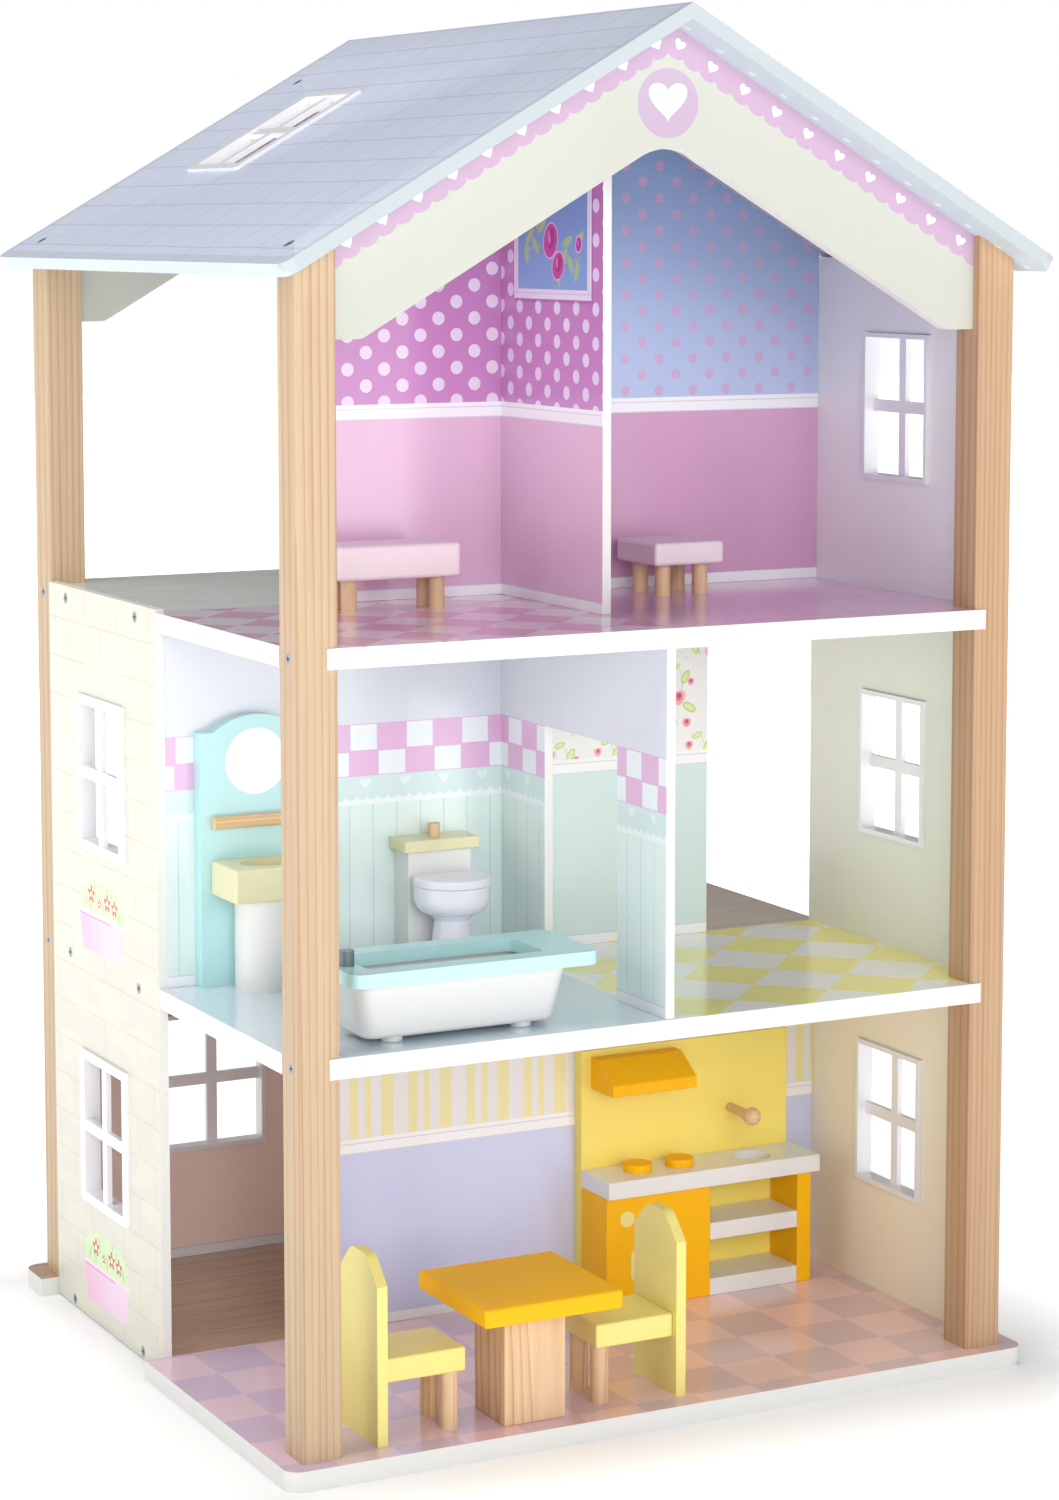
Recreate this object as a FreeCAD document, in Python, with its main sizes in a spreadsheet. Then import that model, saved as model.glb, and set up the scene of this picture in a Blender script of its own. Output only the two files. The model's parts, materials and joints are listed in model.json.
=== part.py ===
import FreeCAD, Part
import math
import os
import re
import Sketcher

# A four-sided wooden dollhouse: three storeys between four pine posts, with wall panels that
# turn round the middle like a pinwheel, a gabled roof, plastic window inserts and loose furniture.
# Frame: origin at the bottom centre of the base plate, X along the front, Y to the back, Z up.
# Millimetres.

doc = FreeCAD.newDocument("dollhouse")
sheet = doc.addObject("Spreadsheet::Sheet", "sizes")

SIZES = [
    # base, posts and floors
    ("base_width", 500), ("base_depth", 450), ("board", 12), ("base_radius", 10),
    ("post_side", 25), ("post_face_x", 237.5), ("post_face_y", 214.5), ("post_round", 1.5),
    ("storey", 232), ("slot_depth", 7), ("floor_front", 215.5),
    # wall panels
    ("ply", 6), ("panel_gap", 0.5), ("panel_face", 238), ("panel_back", 189.5), ("panel_bottom", 2),
    ("left_panel_top", 478), ("right_panel_top", 688), ("wall_end", 149),
    ("door_near", 60), ("door_far", 154), ("door_top", 155), ("short_partition", 135),
    ("back_wall_face", 194), ("back_window_x", -124), ("back_window_z", 133),
    # windows
    ("flange_width", 83), ("flange_height", 100), ("flange_lip", 2), ("flange_round", 2.5),
    ("insert_width", 74), ("insert_height", 94), ("insert_depth", 9), ("insert_wall", 3), ("mullion", 7.5),
    ("mullion_depth", 3.5), ("window_gap", 0.2), ("window_y", 96), ("window_rise", 117.5),
    # roof and gables
    ("ridge", 835), ("roof_angle", 30), ("roof_length", 293.2), ("roof_depth", 473),
    ("roof_thick", 8.2), ("roof_corner", 8), ("skylight_from_ridge", 134),
    ("gable_face", 207.5), ("gable_thick", 9), ("arch_vertex", 758.5), ("arch_foot", 646.5),
    ("arch_foot_x", 194), ("arch_radius", 36),
    # fasteners
    ("head_radius", 3.6), ("head_depth", 2.4), ("shank_radius", 1.8), ("screw_length", 26),
    ("screw_short", 16), ("screw_long", 40), ("post_screw_out", 10), ("gable_screw", 53),
    ("panel_screw_reach", 62), ("overcut", 1),
    # kitchen
    ("kitchen_left", 50), ("kitchen_width", 156), ("kitchen_board", 10), ("kitchen_tall", 164),
    ("kitchen_deep", 45), ("cabinet_width", 77), ("worktop_width", 159), ("worktop_deep", 38),
    ("worktop_thick", 11.5), ("worktop_under", 74), ("shelf_thick", 11.3), ("shelf_rise", 37.3),
    ("side_thick", 10.5), ("shelf_width", 66.5), ("hob_radius", 9.3), ("hob_thick", 5.5),
    ("hob_first", 31.5), ("hob_pitch", 31), ("sink_at", 117.5), ("sink_radius", 12.8),
    ("sink_deep", 6), ("hood_left", 7), ("hood_width", 62), ("hood_under", 139), ("hood_tall", 20.5),
    ("hood_deep", 30), ("hood_lip", 7.5), ("hood_top", 10), ("peg_at", 111.5), ("peg_up", 114.5),
    ("peg_radius", 3), ("peg_ball", 5.9), ("peg_reach", 29),
    # table and chairs
    ("table_x", -87), ("table_y", -190), ("table_side", 90), ("table_thick", 11), ("table_tall", 80),
    ("table_round", 1.5), ("block_side", 40), ("chair_y", -182), ("chair_wide", 52), ("chair_thick", 6.5),
    ("chair_tall", 110), ("chair_shoulder", 94), ("left_chair_x", -187.6), ("right_chair_x", 15.3),
    ("seat_deep", 52), ("seat_wide", 44), ("seat_thick", 14.5), ("seat_up", 35.5), ("chair_leg", 5.5),
    ("chair_leg_out", 45), ("chair_leg_pitch", 26),
    # vanity
    ("vanity_left", -213.5), ("vanity_width", 74), ("vanity_board", 10), ("vanity_shoulder", 157.5),
    ("vanity_tall", 167.5), ("vanity_arch_half", 28), ("mirror_up", 138.5), ("mirror_radius", 20.5),
    ("mirror_recess", 2.5), ("bar_up", 102.5), ("bar_radius", 4), ("bar_length", 60), ("basin_width", 61),
    ("basin_deep", 40), ("basin_thick", 21), ("basin_under", 58), ("bowl_long", 19), ("bowl_short", 12),
    ("bowl_deep", 10), ("vanity_column", 19), ("column_sunk", 6),
    # toilet
    ("toilet_x", -56.5), ("cistern_width", 44), ("cistern_thick", 20), ("cistern_tall", 75),
    ("cap_width", 52), ("cap_deep", 24), ("cap_thick", 7.5), ("button_radius", 3.7), ("button_tall", 8.5),
    ("toilet_bowl_y", -37), ("toilet_bowl_radius", 24), ("toilet_rim_up", 56), ("toilet_bowl_deep", 18),
    ("toilet_belly", 11), ("toilet_foot", 11), ("toilet_neck", 4), ("toilet_base_radius", 15),
    ("toilet_plinth", 3), ("toilet_well", 14), ("toilet_well_foot", 9), ("toilet_well_deep", 14),
    ("toilet_well_forward", 3), ("lid_gap", 0.4),
    ("lid_thick", 5), ("lid_radius", 24.5), ("hinge_y", -22.8), ("hinge_radius", 2.2),
    ("hinge_length", 12), ("lug_length", 5), ("lug_gap", 0.3), ("lug_half", 1.8), ("lid_clear", 0.6),
    ("web_reach", 3),
    # bath
    ("bath_left", -200.5), ("bath_front", -207), ("bath_long", 158.5), ("bath_wide", 71), ("rim_thick", 8),
    ("rim_up", 36), ("rim_round", 8), ("rim_left", 15), ("rim_right", 30), ("rim_side", 14),
    ("tub_from", 6), ("tub_long", 134.5), ("tub_inset", 5), ("tub_taper", 6), ("tub_deep", 33),
    ("tub_round", 9), ("tub_wall", 5), ("tub_heel", 4), ("foot_radius", 6.5), ("foot_tall", 3),
    ("foot_round", 1), ("foot_in_long", 26), ("foot_in_wide", 14), ("tap_radius", 4.4), ("tap_tall", 9),
    ("tap_in", 8.5), ("tap_back", 29),
    # bench and stool
    ("bench_left", -143), ("bench_width", 82), ("bench_front", -61), ("bench_deep", 40),
    ("bench_thick", 21), ("stool_left", 74), ("stool_width", 50), ("stool_front", -63),
    ("stool_deep", 52), ("stool_thick", 14.5), ("leg_tall", 19.5), ("leg_radius", 5), ("leg_inset", 11.5),
    ("soft_edge", 2.5), ("small_edge", 0.8),
]
for row, (alias, value) in enumerate(SIZES, start=1):
    sheet.set("A%d" % row, alias)
    sheet.set("B%d" % row, str(value))
    sheet.setAlias("B%d" % row, alias)
doc.recompute()

CELLS = {alias: "sizes." + alias for alias, _ in SIZES}
NODES = []
ROLES = {"XY": "XY_Plane", "XZ": "XZ_Plane", "YZ": "YZ_Plane"}


def size(alias):
    """A driving dimension, read back from the sheet."""
    return float(sheet.get(alias))


def bound(text):
    """An expression with every alias written as a cell of the sheet."""
    return re.sub("[a-z_]+", lambda word: CELLS.get(word.group(), word.group()), str(text))


def worked(text):
    """The value of an expression of aliases."""
    if not isinstance(text, str):
        return float(text)
    return float(doc.getObject("sizes").evalExpression(bound(text)))


def place(item, at=(0, 0, 0), turn=None):
    """Puts an object at three expressions, with an optional (axis, degrees) turn."""
    spot = FreeCAD.Vector(*[worked(a) for a in at])
    rotation = FreeCAD.Rotation(FreeCAD.Vector(*turn[0]), turn[1]) if turn else FreeCAD.Rotation()
    item.Placement = FreeCAD.Placement(spot, rotation)
    for letter, text in zip("xyz", at):
        item.setExpression("Placement.Base." + letter, bound(text))


def node(item, name):
    """Keeps an object as one named piece of the dollhouse."""
    item.Label = name
    NODES.append(item)
    return item


def new_sketch(body, plane, name):
    sketch = body.newObject("Sketcher::SketchObject", name)
    origin = [f for f in body.Origin.OriginFeatures if f.Role == ROLES[plane]][0]
    sketch.AttachmentSupport = (origin, [""])
    sketch.MapMode = "FlatFace"
    return sketch


def draw_outline(sketch, corners):
    """A closed outline whose corners are pairs of expressions, each held by its own constraints."""
    points = [FreeCAD.Vector(worked(a), worked(b), 0) for a, b in corners]
    count = len(points)
    first = sketch.GeometryCount
    for i in range(count):
        sketch.addGeometry(Part.LineSegment(points[i], points[(i + 1) % count]), False)
    for i in range(count):
        here = first + i
        after = first + (i + 1) % count
        sketch.addConstraint(Sketcher.Constraint("Coincident", here, 2, after, 1))
    for i, (a, b) in enumerate(corners):
        for kind, text, value in (("DistanceX", a, points[i].x), ("DistanceY", b, points[i].y)):
            index = sketch.addConstraint(Sketcher.Constraint(kind, first + i, 1, value))
            sketch.setExpression("Constraints[%d]" % index, bound(text))


def draw_circle(sketch, centre, radius):
    middle = FreeCAD.Vector(worked(centre[0]), worked(centre[1]), 0)
    circle = Part.Circle(middle, FreeCAD.Vector(0, 0, 1), worked(radius))
    here = sketch.addGeometry(circle, False)
    held = (("DistanceX", centre[0], middle.x), ("DistanceY", centre[1], middle.y))
    for kind, text, value in held:
        index = sketch.addConstraint(Sketcher.Constraint(kind, here, 3, value))
        sketch.setExpression("Constraints[%d]" % index, bound(text))
    index = sketch.addConstraint(Sketcher.Constraint("Radius", here, worked(radius)))
    sketch.setExpression("Constraints[%d]" % index, bound(radius))


def rectangle(x0, y0, x1, y1):
    return [(x0, y0), (x1, y0), (x1, y1), (x0, y1)]


def slab(name, plane, outline, thickness, at=(0, 0, 0), turn=None, backwards=False):
    """A board: a body with one outline padded to its thickness."""
    body = doc.addObject("PartDesign::Body", name + "_body")
    sketch = new_sketch(body, plane, name + "_outline")
    draw_outline(sketch, outline)
    pad = body.newObject("PartDesign::Pad", name + "_pad")
    pad.Profile = sketch
    pad.Reversed = backwards
    pad.setExpression("Length", bound(thickness))
    place(body, at, turn)
    doc.recompute()
    return body


def cut_through(body, plane, shapes, name="opening"):
    """Cuts outlines or circles straight through a body, both ways from the plane."""
    before = body.Shape.Volume
    sketch = new_sketch(body, plane, name)
    for shape in shapes:
        if len(shape) == 2:
            draw_circle(sketch, shape[0], shape[1])
        else:
            draw_outline(sketch, shape)
    pocket = body.newObject("PartDesign::Pocket", name + "_pocket")
    pocket.Profile = sketch
    pocket.Type = "ThroughAll"
    pocket.Midplane = True
    doc.recompute()
    if not body.Shape.Volume < before - 1:
        raise RuntimeError("a pocket cut nothing: " + body.Name)


def edges_along(body, direction, spots=None, reach=0.6):
    """Names of a body's straight edges along a direction, near given points across it."""
    shape = body.Tip.Shape
    found = []
    for i, edge in enumerate(shape.Edges, start=1):
        if edge.Curve.TypeId != "Part::GeomLine":
            continue
        run = (edge.Vertexes[-1].Point - edge.Vertexes[0].Point).normalize()
        if abs(abs(run.dot(direction)) - 1) > 1e-4:
            continue
        middle = edge.CenterOfMass
        flat = middle - direction * middle.dot(direction)
        if spots is None or any((flat - s).Length < reach for s in spots):
            found.append("Edge%d" % i)
    return found


def soften(body, direction, radius, spots=None, name="rounding"):
    """Rounds a body's edges that run along a direction."""
    support = body.Tip
    names = edges_along(body, direction, spots)
    fillet = body.newObject("PartDesign::Fillet", name)
    fillet.Base = (support, names)
    fillet.Radius = worked(radius)
    fillet.setExpression("Radius", bound(radius))
    doc.recompute()
    if not names or not fillet.Shape.isValid():
        raise RuntimeError("a rounding failed: " + body.Name)


def block(name, lengths, at, edge=None):
    """A rectangular block of wood from its low corner, with all edges eased when edge is given."""
    box = doc.addObject("Part::Box", name + "_block")
    for side, text in zip(("Length", "Width", "Height"), lengths):
        setattr(box, side, worked(text))
        box.setExpression(side, bound(text))
    place(box, at)
    doc.recompute()
    if edge is None:
        return box
    eased = doc.addObject("Part::Fillet", name + "_eased")
    eased.Base = box
    eased.Edges = [(i, worked(edge), worked(edge)) for i in range(1, 13)]
    doc.recompute()
    return eased


def dowel(name, radius, length, at, turn=None):
    """A round piece of wood from the middle of one end."""
    rod = doc.addObject("Part::Cylinder", name)
    rod.Radius = worked(radius)
    rod.Height = worked(length)
    rod.setExpression("Radius", bound(radius))
    rod.setExpression("Height", bound(length))
    place(rod, at, turn)
    return rod


def joined(name, items):
    """Several solids kept side by side in one node."""
    group = doc.addObject("Part::Compound", name + "_group")
    group.Links = items
    doc.recompute()
    return group


def minus(name, base, tool):
    cut = doc.addObject("Part::Cut", name + "_cut")
    cut.Base = base
    cut.Tool = tool
    cut.Refine = True
    doc.recompute()
    return cut


def feature(name, shape, at=(0, 0, 0)):
    """A shape made by Part's own functions, which takes its place after its shape."""
    item = doc.addObject("Part::Feature", name + "_shape")
    item.Shape = shape
    place(item, at)
    return item


X = FreeCAD.Vector(1, 0, 0)
Y = FreeCAD.Vector(0, 1, 0)
Z = FreeCAD.Vector(0, 0, 1)
V = FreeCAD.Vector
HALF_TURN = ((0, 0, 1), 180)

first_top = size("board") + size("storey")
second_top = first_top + size("storey")


# ---------------------------------------------------------------- screws
def screw_shape(length):
    """A countersunk wood screw along -Z with its head flush at the origin."""
    head, depth, shank = size("head_radius"), size("head_depth"), size("shank_radius")
    profile = [V(0, 0, 0), V(head, 0, 0), V(shank, 0, -depth), V(shank, 0, shank - length),
               V(0, 0, -length), V(0, 0, 0)]
    solid = Part.Face(Part.makePolygon(profile)).revolve(V(0, 0, 0), Z, 360)
    slot_long, slot_wide, slot_deep = head * 1.1, head * 0.28, depth * 0.5
    for sides in ((slot_long, slot_wide), (slot_wide, slot_long)):
        solid = solid.cut(Part.makeBox(sides[0], sides[1], slot_deep,
                                       V(-sides[0] / 2, -sides[1] / 2, -slot_deep)))
    return solid


def screws(name, length, spots):
    """A group of screws, each given by its head's place and the direction its head faces."""
    copies = []
    plain = []
    profile_length = size(length)
    shape = screw_shape(profile_length)
    head, depth, shank = size("head_radius"), size("head_depth"), size("shank_radius")
    envelope = Part.makeCone(shank, head, depth, V(0, 0, -depth)).fuse(
        [Part.makeCylinder(shank, profile_length - depth - shank, V(0, 0, shank - profile_length)),
         Part.makeCone(0, shank, shank, V(0, 0, -profile_length))]).removeSplitter()
    for spot, facing in spots:
        where = FreeCAD.Placement(V(*spot), FreeCAD.Rotation(Z, V(*facing)))
        for source, target in ((shape, copies), (envelope, plain)):
            copy = source.copy()
            copy.Placement = where
            target.append(copy)
    node(feature(name, Part.makeCompound(copies)), name)
    return plain


slope = math.radians(size("roof_angle"))
post_mid_x = size("post_face_x") - size("post_side") / 2
post_mid_y = size("post_face_y") - size("post_side") / 2
gable_mid_y = size("gable_face") - size("gable_thick") / 2


def roof_point(side, x, y):
    """A point on the roof's top, side -1 for the left panel and 1 for the right one."""
    return (side * x, y, size("ridge") - x * math.tan(slope))


tools = []
roof_spots = []
for side in (-1, 1):
    facing = (side * math.sin(slope), 0, math.cos(slope))
    for end in (-1, 1):
        roof_spots.append((roof_point(side, post_mid_x + size("post_screw_out"), end * post_mid_y), facing))
    roof_spots.append((roof_point(side, size("gable_screw"), -side * gable_mid_y), facing))
tools += screws("roof_screws", "screw_length", roof_spots)

post_spots = []
for side in (-1, 1):
    for end in (-1, 1):
        for top in (first_top, second_top):
            spot = (side * size("post_face_x"), end * post_mid_y, top - size("board") / 2)
            post_spots.append((spot, (side, 0, 0)))
tools += screws("post_screws", "screw_long", post_spots)

panel_spots = []
for side in (-1, 1):
    for offset in (-size("panel_screw_reach"), size("panel_screw_reach")):
        for top in (size("board"), first_top, second_top):
            spot = (side * size("panel_face"), -side * size("window_y") + offset, top - size("board") / 2)
            panel_spots.append((spot, (side, 0, 0)))
tools += screws("panel_screws", "screw_short", panel_spots)

base_spots = [((sx * post_mid_x, sy * post_mid_y, 0), (0, 0, -1)) for sx in (-1, 1) for sy in (-1, 1)]
tools += screws("base_screws", "screw_long", base_spots)
screw_holes = feature("screw_holes", Part.makeCompound(tools))


def bored(name, item):
    """The same piece with the holes that its screws fill."""
    return node(minus(name, item, screw_holes), name)


# ---------------------------------------------------------------- base, floors and posts
half_width = "base_width / 2"
half_depth = "base_depth / 2"
inner_x = "(panel_face - ply)"
base_outline = [
    ("-" + half_width, "-" + half_depth), (half_width, "-" + half_depth),
    (half_width, "-panel_back - panel_gap"), (inner_x, "-panel_back - panel_gap"),
    (inner_x, "ply"), (half_width, "ply"),
    (half_width, half_depth), ("-" + half_width, half_depth),
    ("-" + half_width, "panel_back + panel_gap"), ("-" + inner_x, "panel_back + panel_gap"),
    ("-" + inner_x, 0), ("-" + half_width, 0),
]
base = slab("base_plate", "XY", base_outline, "board")
corner_x, corner_y = size("base_width") / 2, size("base_depth") / 2
soften(base, Z, "base_radius", [V(a * corner_x, b * corner_y, 0) for a in (-1, 1) for b in (-1, 1)])
bored("base_plate", base)

tongue_x = "(post_face_x - post_side + slot_depth)"
post_in_y = "(post_face_y - post_side)"


def floor_outline():
    """One floor: tongues in the posts' slots, and side edges let in for the wall panels."""
    front, post_y, side = "-floor_front", "-" + post_in_y, "post_face_x"
    return [
        (tongue_x, front), (tongue_x, post_y), (inner_x, post_y), (inner_x, "ply"), (side, "ply"),
        (side, post_in_y), (tongue_x, post_in_y), (tongue_x, "floor_front"),
        ("-" + tongue_x, "floor_front"), ("-" + tongue_x, post_in_y), ("-" + inner_x, post_in_y),
        ("-" + inner_x, 0), ("-" + side, 0), ("-" + side, post_y), ("-" + tongue_x, post_y),
        ("-" + tongue_x, front),
    ]


for name, storeys in (("first_floor", "storey"), ("second_floor", "storey * 2")):
    bored(name, slab(name, "XY", floor_outline(), "board", (0, 0, storeys)))

under_ridge = "(ridge - roof_thick / cos(roof_angle * 1deg))"
fall = "tan(roof_angle * 1deg)"


def post(name, side, end):
    """A square pine post with its head cut to the roof's slope and a slot for each floor."""
    half = "post_side / 2"
    outer_top = "%s - post_face_x * %s - board" % (under_ridge, fall)
    inner_top = "%s - (post_face_x - post_side) * %s - board" % (under_ridge, fall)
    outline = [("-" + half, 0), (half, 0), (half, inner_top), ("-" + half, outer_top)]
    turn = HALF_TURN if side > 0 else None
    middle_x = "(post_face_x - post_side / 2) * %d" % side
    start_y = "(post_face_y - post_side / 2) * %d %s post_side / 2" % (end, "-" if side > 0 else "+")
    body = slab(name, "XZ", outline, "post_side", (middle_x, start_y, "board"), turn)
    rest = [V(a * size("post_side") / 2, b, 0) for a in (-1, 1) for b in (0, -size("post_side"))]
    soften(body, Z, "post_round", rest)
    slots = []
    for n in (1, 2):
        low = "storey * %d - board" % n
        slots.append(rectangle("post_side / 2 - slot_depth", low, "post_side", "storey * %d" % n))
    cut_through(body, "XZ", slots, "slots")
    bored(name, body)


for side, side_name in ((-1, "left"), (1, "right")):
    for end, end_name in ((-1, "front"), (1, "back")):
        post("post_%s_%s" % (end_name, side_name), side, end)


# ---------------------------------------------------------------- walls
def window_hole(middle_x, middle_z):
    """The outline of an insert's hole about a middle, in a wall's own plane."""
    half_x = "(insert_width / 2 + window_gap)"
    half_z = "(insert_height / 2 + window_gap)"
    return rectangle("%s - %s" % (middle_x, half_x), "%s - %s" % (middle_z, half_z),
                     "%s + %s" % (middle_x, half_x), "%s + %s" % (middle_z, half_z))


def side_panel(name, start, top, storeys, turn, at_x):
    """A wall panel outside the floors' edges, with one window for each storey."""
    outline = rectangle(start, "panel_bottom", "panel_back", top)
    body = slab(name, "YZ", outline, "ply", (at_x, 0, 0), turn)
    holes = [window_hole("window_y", "(board + storey * %d + window_rise)" % n) for n in range(storeys)]
    cut_through(body, "YZ", holes, "window_holes")
    bored(name, body)


side_panel("side_panel_left", 0, "left_panel_top", 2, None, "-panel_face")
side_panel("side_panel_right", "-ply", "right_panel_top", 3, HALF_TURN, "panel_face")

wall_low = "-wall_end"
wall_high = "-" + inner_x
ceiling = "storey - board"
for name, left, right, level in (("ground_cross_wall", wall_low, inner_x, "board"),
                                 ("first_cross_wall", wall_high, "wall_end", "(board + storey)")):
    outline = rectangle(left, 0, right, ceiling)
    node(slab(name, "XZ", outline, "ply", (0, "ply", level)), name)

second_level = "(board + storey * 2)"


def below_roof(x):
    return "%s - %s * %s - %s" % (under_ridge, x, fall, second_level)


second_outline = [
    (wall_low, 0), (inner_x, 0), (inner_x, below_roof(inner_x)),
    (0, below_roof("0")), (wall_low, below_roof("wall_end")),
]
node(slab("second_cross_wall", "XZ", second_outline, "ply", (0, "ply", second_level)), "second_cross_wall")

partition_x = "-ply / 2"
first_front = slab("first_partition", "YZ", rectangle("-post_face_y", 0, 0, ceiling), "ply",
                   (partition_x, 0, "(board + storey)"))
cut_through(first_front, "YZ", [rectangle("-door_far", "-board", "-door_near", "door_top")], "doorway")
node(first_front, "first_partition")

partition_top = "%s - ply / 2 * %s - %s" % (under_ridge, fall, second_level)
node(slab("second_partition", "YZ", rectangle("-short_partition", 0, 0, partition_top), "ply",
          (partition_x, 0, second_level)), "second_partition")

ground_back = slab("ground_back_partition", "YZ", rectangle("ply", 0, "back_wall_face + ply", ceiling),
                   "ply", (partition_x, 0, "board"))
cut_through(ground_back, "YZ", [rectangle("door_near", "-board", "door_far", "door_top")], "doorway")
node(ground_back, "ground_back_partition")

back_left = "-(post_face_x - post_side)"
back_wall = slab("ground_back_wall", "XZ", rectangle(back_left, 0, partition_x, ceiling), "ply",
                 (0, "back_wall_face + ply", "board"))
cut_through(back_wall, "XZ", [window_hole("back_window_x", "(back_window_z - board)")], "window_hole")
node(back_wall, "ground_back_wall")

# ---------------------------------------------------------------- roof and gables
roof_mitre = "roof_thick * " + fall
roof_outline = [(0, 0), ("roof_length", 0), ("roof_length", "-roof_thick"), (roof_mitre, "-roof_thick")]
for name, side in (("roof_left", -1), ("roof_right", 1)):
    tilt = FreeCAD.Rotation(Y, size("roof_angle"))
    if side < 0:
        tilt = FreeCAD.Rotation(Z, 180).multiply(tilt)
    panel = slab(name, "XZ", roof_outline, "roof_depth",
                 (0, "roof_depth / 2 * %d" % side, "ridge"), (tilt.Axis, math.degrees(tilt.Angle)))
    eave = [V(size("roof_length"), y, 0) for y in (0, -size("roof_depth"))]
    soften(panel, Z, "roof_corner", eave, "eave_corners")
    half_deep = "(insert_width / 2 + window_gap)"
    half_long = "(insert_height / 2 + window_gap)"
    across = "(-roof_depth / 2 - window_y)"
    hole = rectangle("skylight_from_ridge - " + half_long, "%s - %s" % (across, half_deep),
                     "skylight_from_ridge + " + half_long, "%s + %s" % (across, half_deep))
    cut_through(panel, "XY", [hole], "skylight_hole")
    bored(name, panel)

gable_side = "(post_face_x - post_side)"
gable_top = "%s - %s * %s" % (under_ridge, gable_side, fall)
arch_slope = "(arch_vertex - arch_foot) / arch_foot_x"
gable_outline = [
    ("-" + gable_side, "arch_foot"), ("-arch_foot_x", "arch_foot"), (0, "arch_vertex"),
    ("arch_foot_x", "arch_foot"), (gable_side, "arch_foot"), (gable_side, gable_top),
    (0, under_ridge), ("-" + gable_side, gable_top),
]
for name, at_y, turn in (("gable_front", "-gable_face + gable_thick", None),
                         ("gable_back", "gable_face - gable_thick", HALF_TURN)):
    gable = slab(name, "XZ", gable_outline, "gable_thick", (0, at_y, 0), turn)
    soften(gable, Y, "arch_radius", [V(0, 0, size("arch_vertex"))], "arch_rounding")
    feet = [V(a * size("arch_foot_x"), 0, size("arch_foot")) for a in (-1, 1)]
    soften(gable, Y, "base_radius", feet, "foot_rounding")
    bored(name, gable)


# ---------------------------------------------------------------- window inserts
def insert_shape():
    """A moulded window: flange outside, sleeve through the wall, and a cross of mullions."""
    flange_x, flange_y, lip = size("flange_width"), size("flange_height"), size("flange_lip")
    body_x, body_y, deep = size("insert_width"), size("insert_height"), size("insert_depth")
    wall, bar, bar_deep = size("insert_wall"), size("mullion"), size("mullion_depth")
    open_x, open_y = body_x - wall * 2, body_y - wall * 2

    def centred(x, y, z, low):
        return Part.makeBox(x, y, z, V(-x / 2, -y / 2, low))
    flange = centred(flange_x, flange_y, lip, 0)
    upright = [e for e in flange.Edges if abs(e.tangentAt(e.FirstParameter).z) > 0.9]
    flange = flange.makeFillet(size("flange_round"), upright)
    outer = flange.fuse(centred(body_x, body_y, deep, -deep))
    frame = outer.cut(centred(open_x, open_y, deep + lip, -deep))
    upright_bar = centred(bar, open_y + wall, bar_deep, lip / 2 - bar_deep)
    level_bar = centred(open_x + wall, bar, bar_deep, lip / 2 - bar_deep)
    return frame.fuse([upright_bar, level_bar]).removeSplitter()


def inserts(name, places):
    copies = []
    for spot, rotation in places:
        copy = insert_shape()
        copy.Placement = FreeCAD.Placement(V(*spot), rotation)
        copies.append(copy)
    node(feature(name, Part.makeCompound(copies)), name)


facing_left = FreeCAD.Rotation(V(0, -1, 0), V(0, 0, 1), V(-1, 0, 0), "ZYX")
facing_right = FreeCAD.Rotation(V(0, 1, 0), V(0, 0, 1), V(1, 0, 0), "ZYX")
facing_back = FreeCAD.Rotation(V(-1, 0, 0), V(0, 0, 1), V(0, 1, 0), "ZYX")
wall_windows = []
for n in range(3):
    height = size("board") + size("storey") * n + size("window_rise")
    if n < 2:
        wall_windows.append(((-size("panel_face"), size("window_y"), height), facing_left))
    wall_windows.append(((size("panel_face"), -size("window_y"), height), facing_right))
back_y = size("back_wall_face") + size("ply")
wall_windows.append(((size("back_window_x"), back_y, size("back_window_z")), facing_back))
inserts("window_inserts", wall_windows)

skylights = []
for side in (-1, 1):
    tilt = FreeCAD.Rotation(Y, size("roof_angle")).multiply(FreeCAD.Rotation(Z, 90))
    if side < 0:
        tilt = FreeCAD.Rotation(Z, 180).multiply(tilt)
    reach = size("skylight_from_ridge") * math.cos(slope)
    skylights.append((roof_point(side, reach, -side * size("window_y")), tilt))
inserts("skylight_inserts", skylights)

# ---------------------------------------------------------------- kitchen
kitchen_front = "(-kitchen_deep)"
board_face = "(-kitchen_board)"
worktop_low = "(board + worktop_under)"
node(block("kitchen_board", ("kitchen_width", "kitchen_board", "kitchen_tall"),
           ("kitchen_left", board_face, "board"), "small_edge"), "kitchen_board")
front_deep = "(kitchen_deep - kitchen_board)"
node(block("kitchen_cabinet", ("cabinet_width", front_deep, "worktop_under"),
           ("kitchen_left", kitchen_front, "board"), "small_edge"), "kitchen_cabinet")
side_x = "(kitchen_left + cabinet_width + shelf_width)"
node(block("kitchen_side", ("side_thick", front_deep, "worktop_under"),
           (side_x, kitchen_front, "board"), "small_edge"), "kitchen_side")
shelf_x = "(kitchen_left + cabinet_width)"
shelves = [block("kitchen_shelf_%d" % n, ("shelf_width", front_deep, "shelf_thick"),
                 (shelf_x, kitchen_front, "board + shelf_rise * %d" % n), "small_edge") for n in (0, 1)]
node(joined("kitchen_shelves", shelves), "kitchen_shelves")

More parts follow.
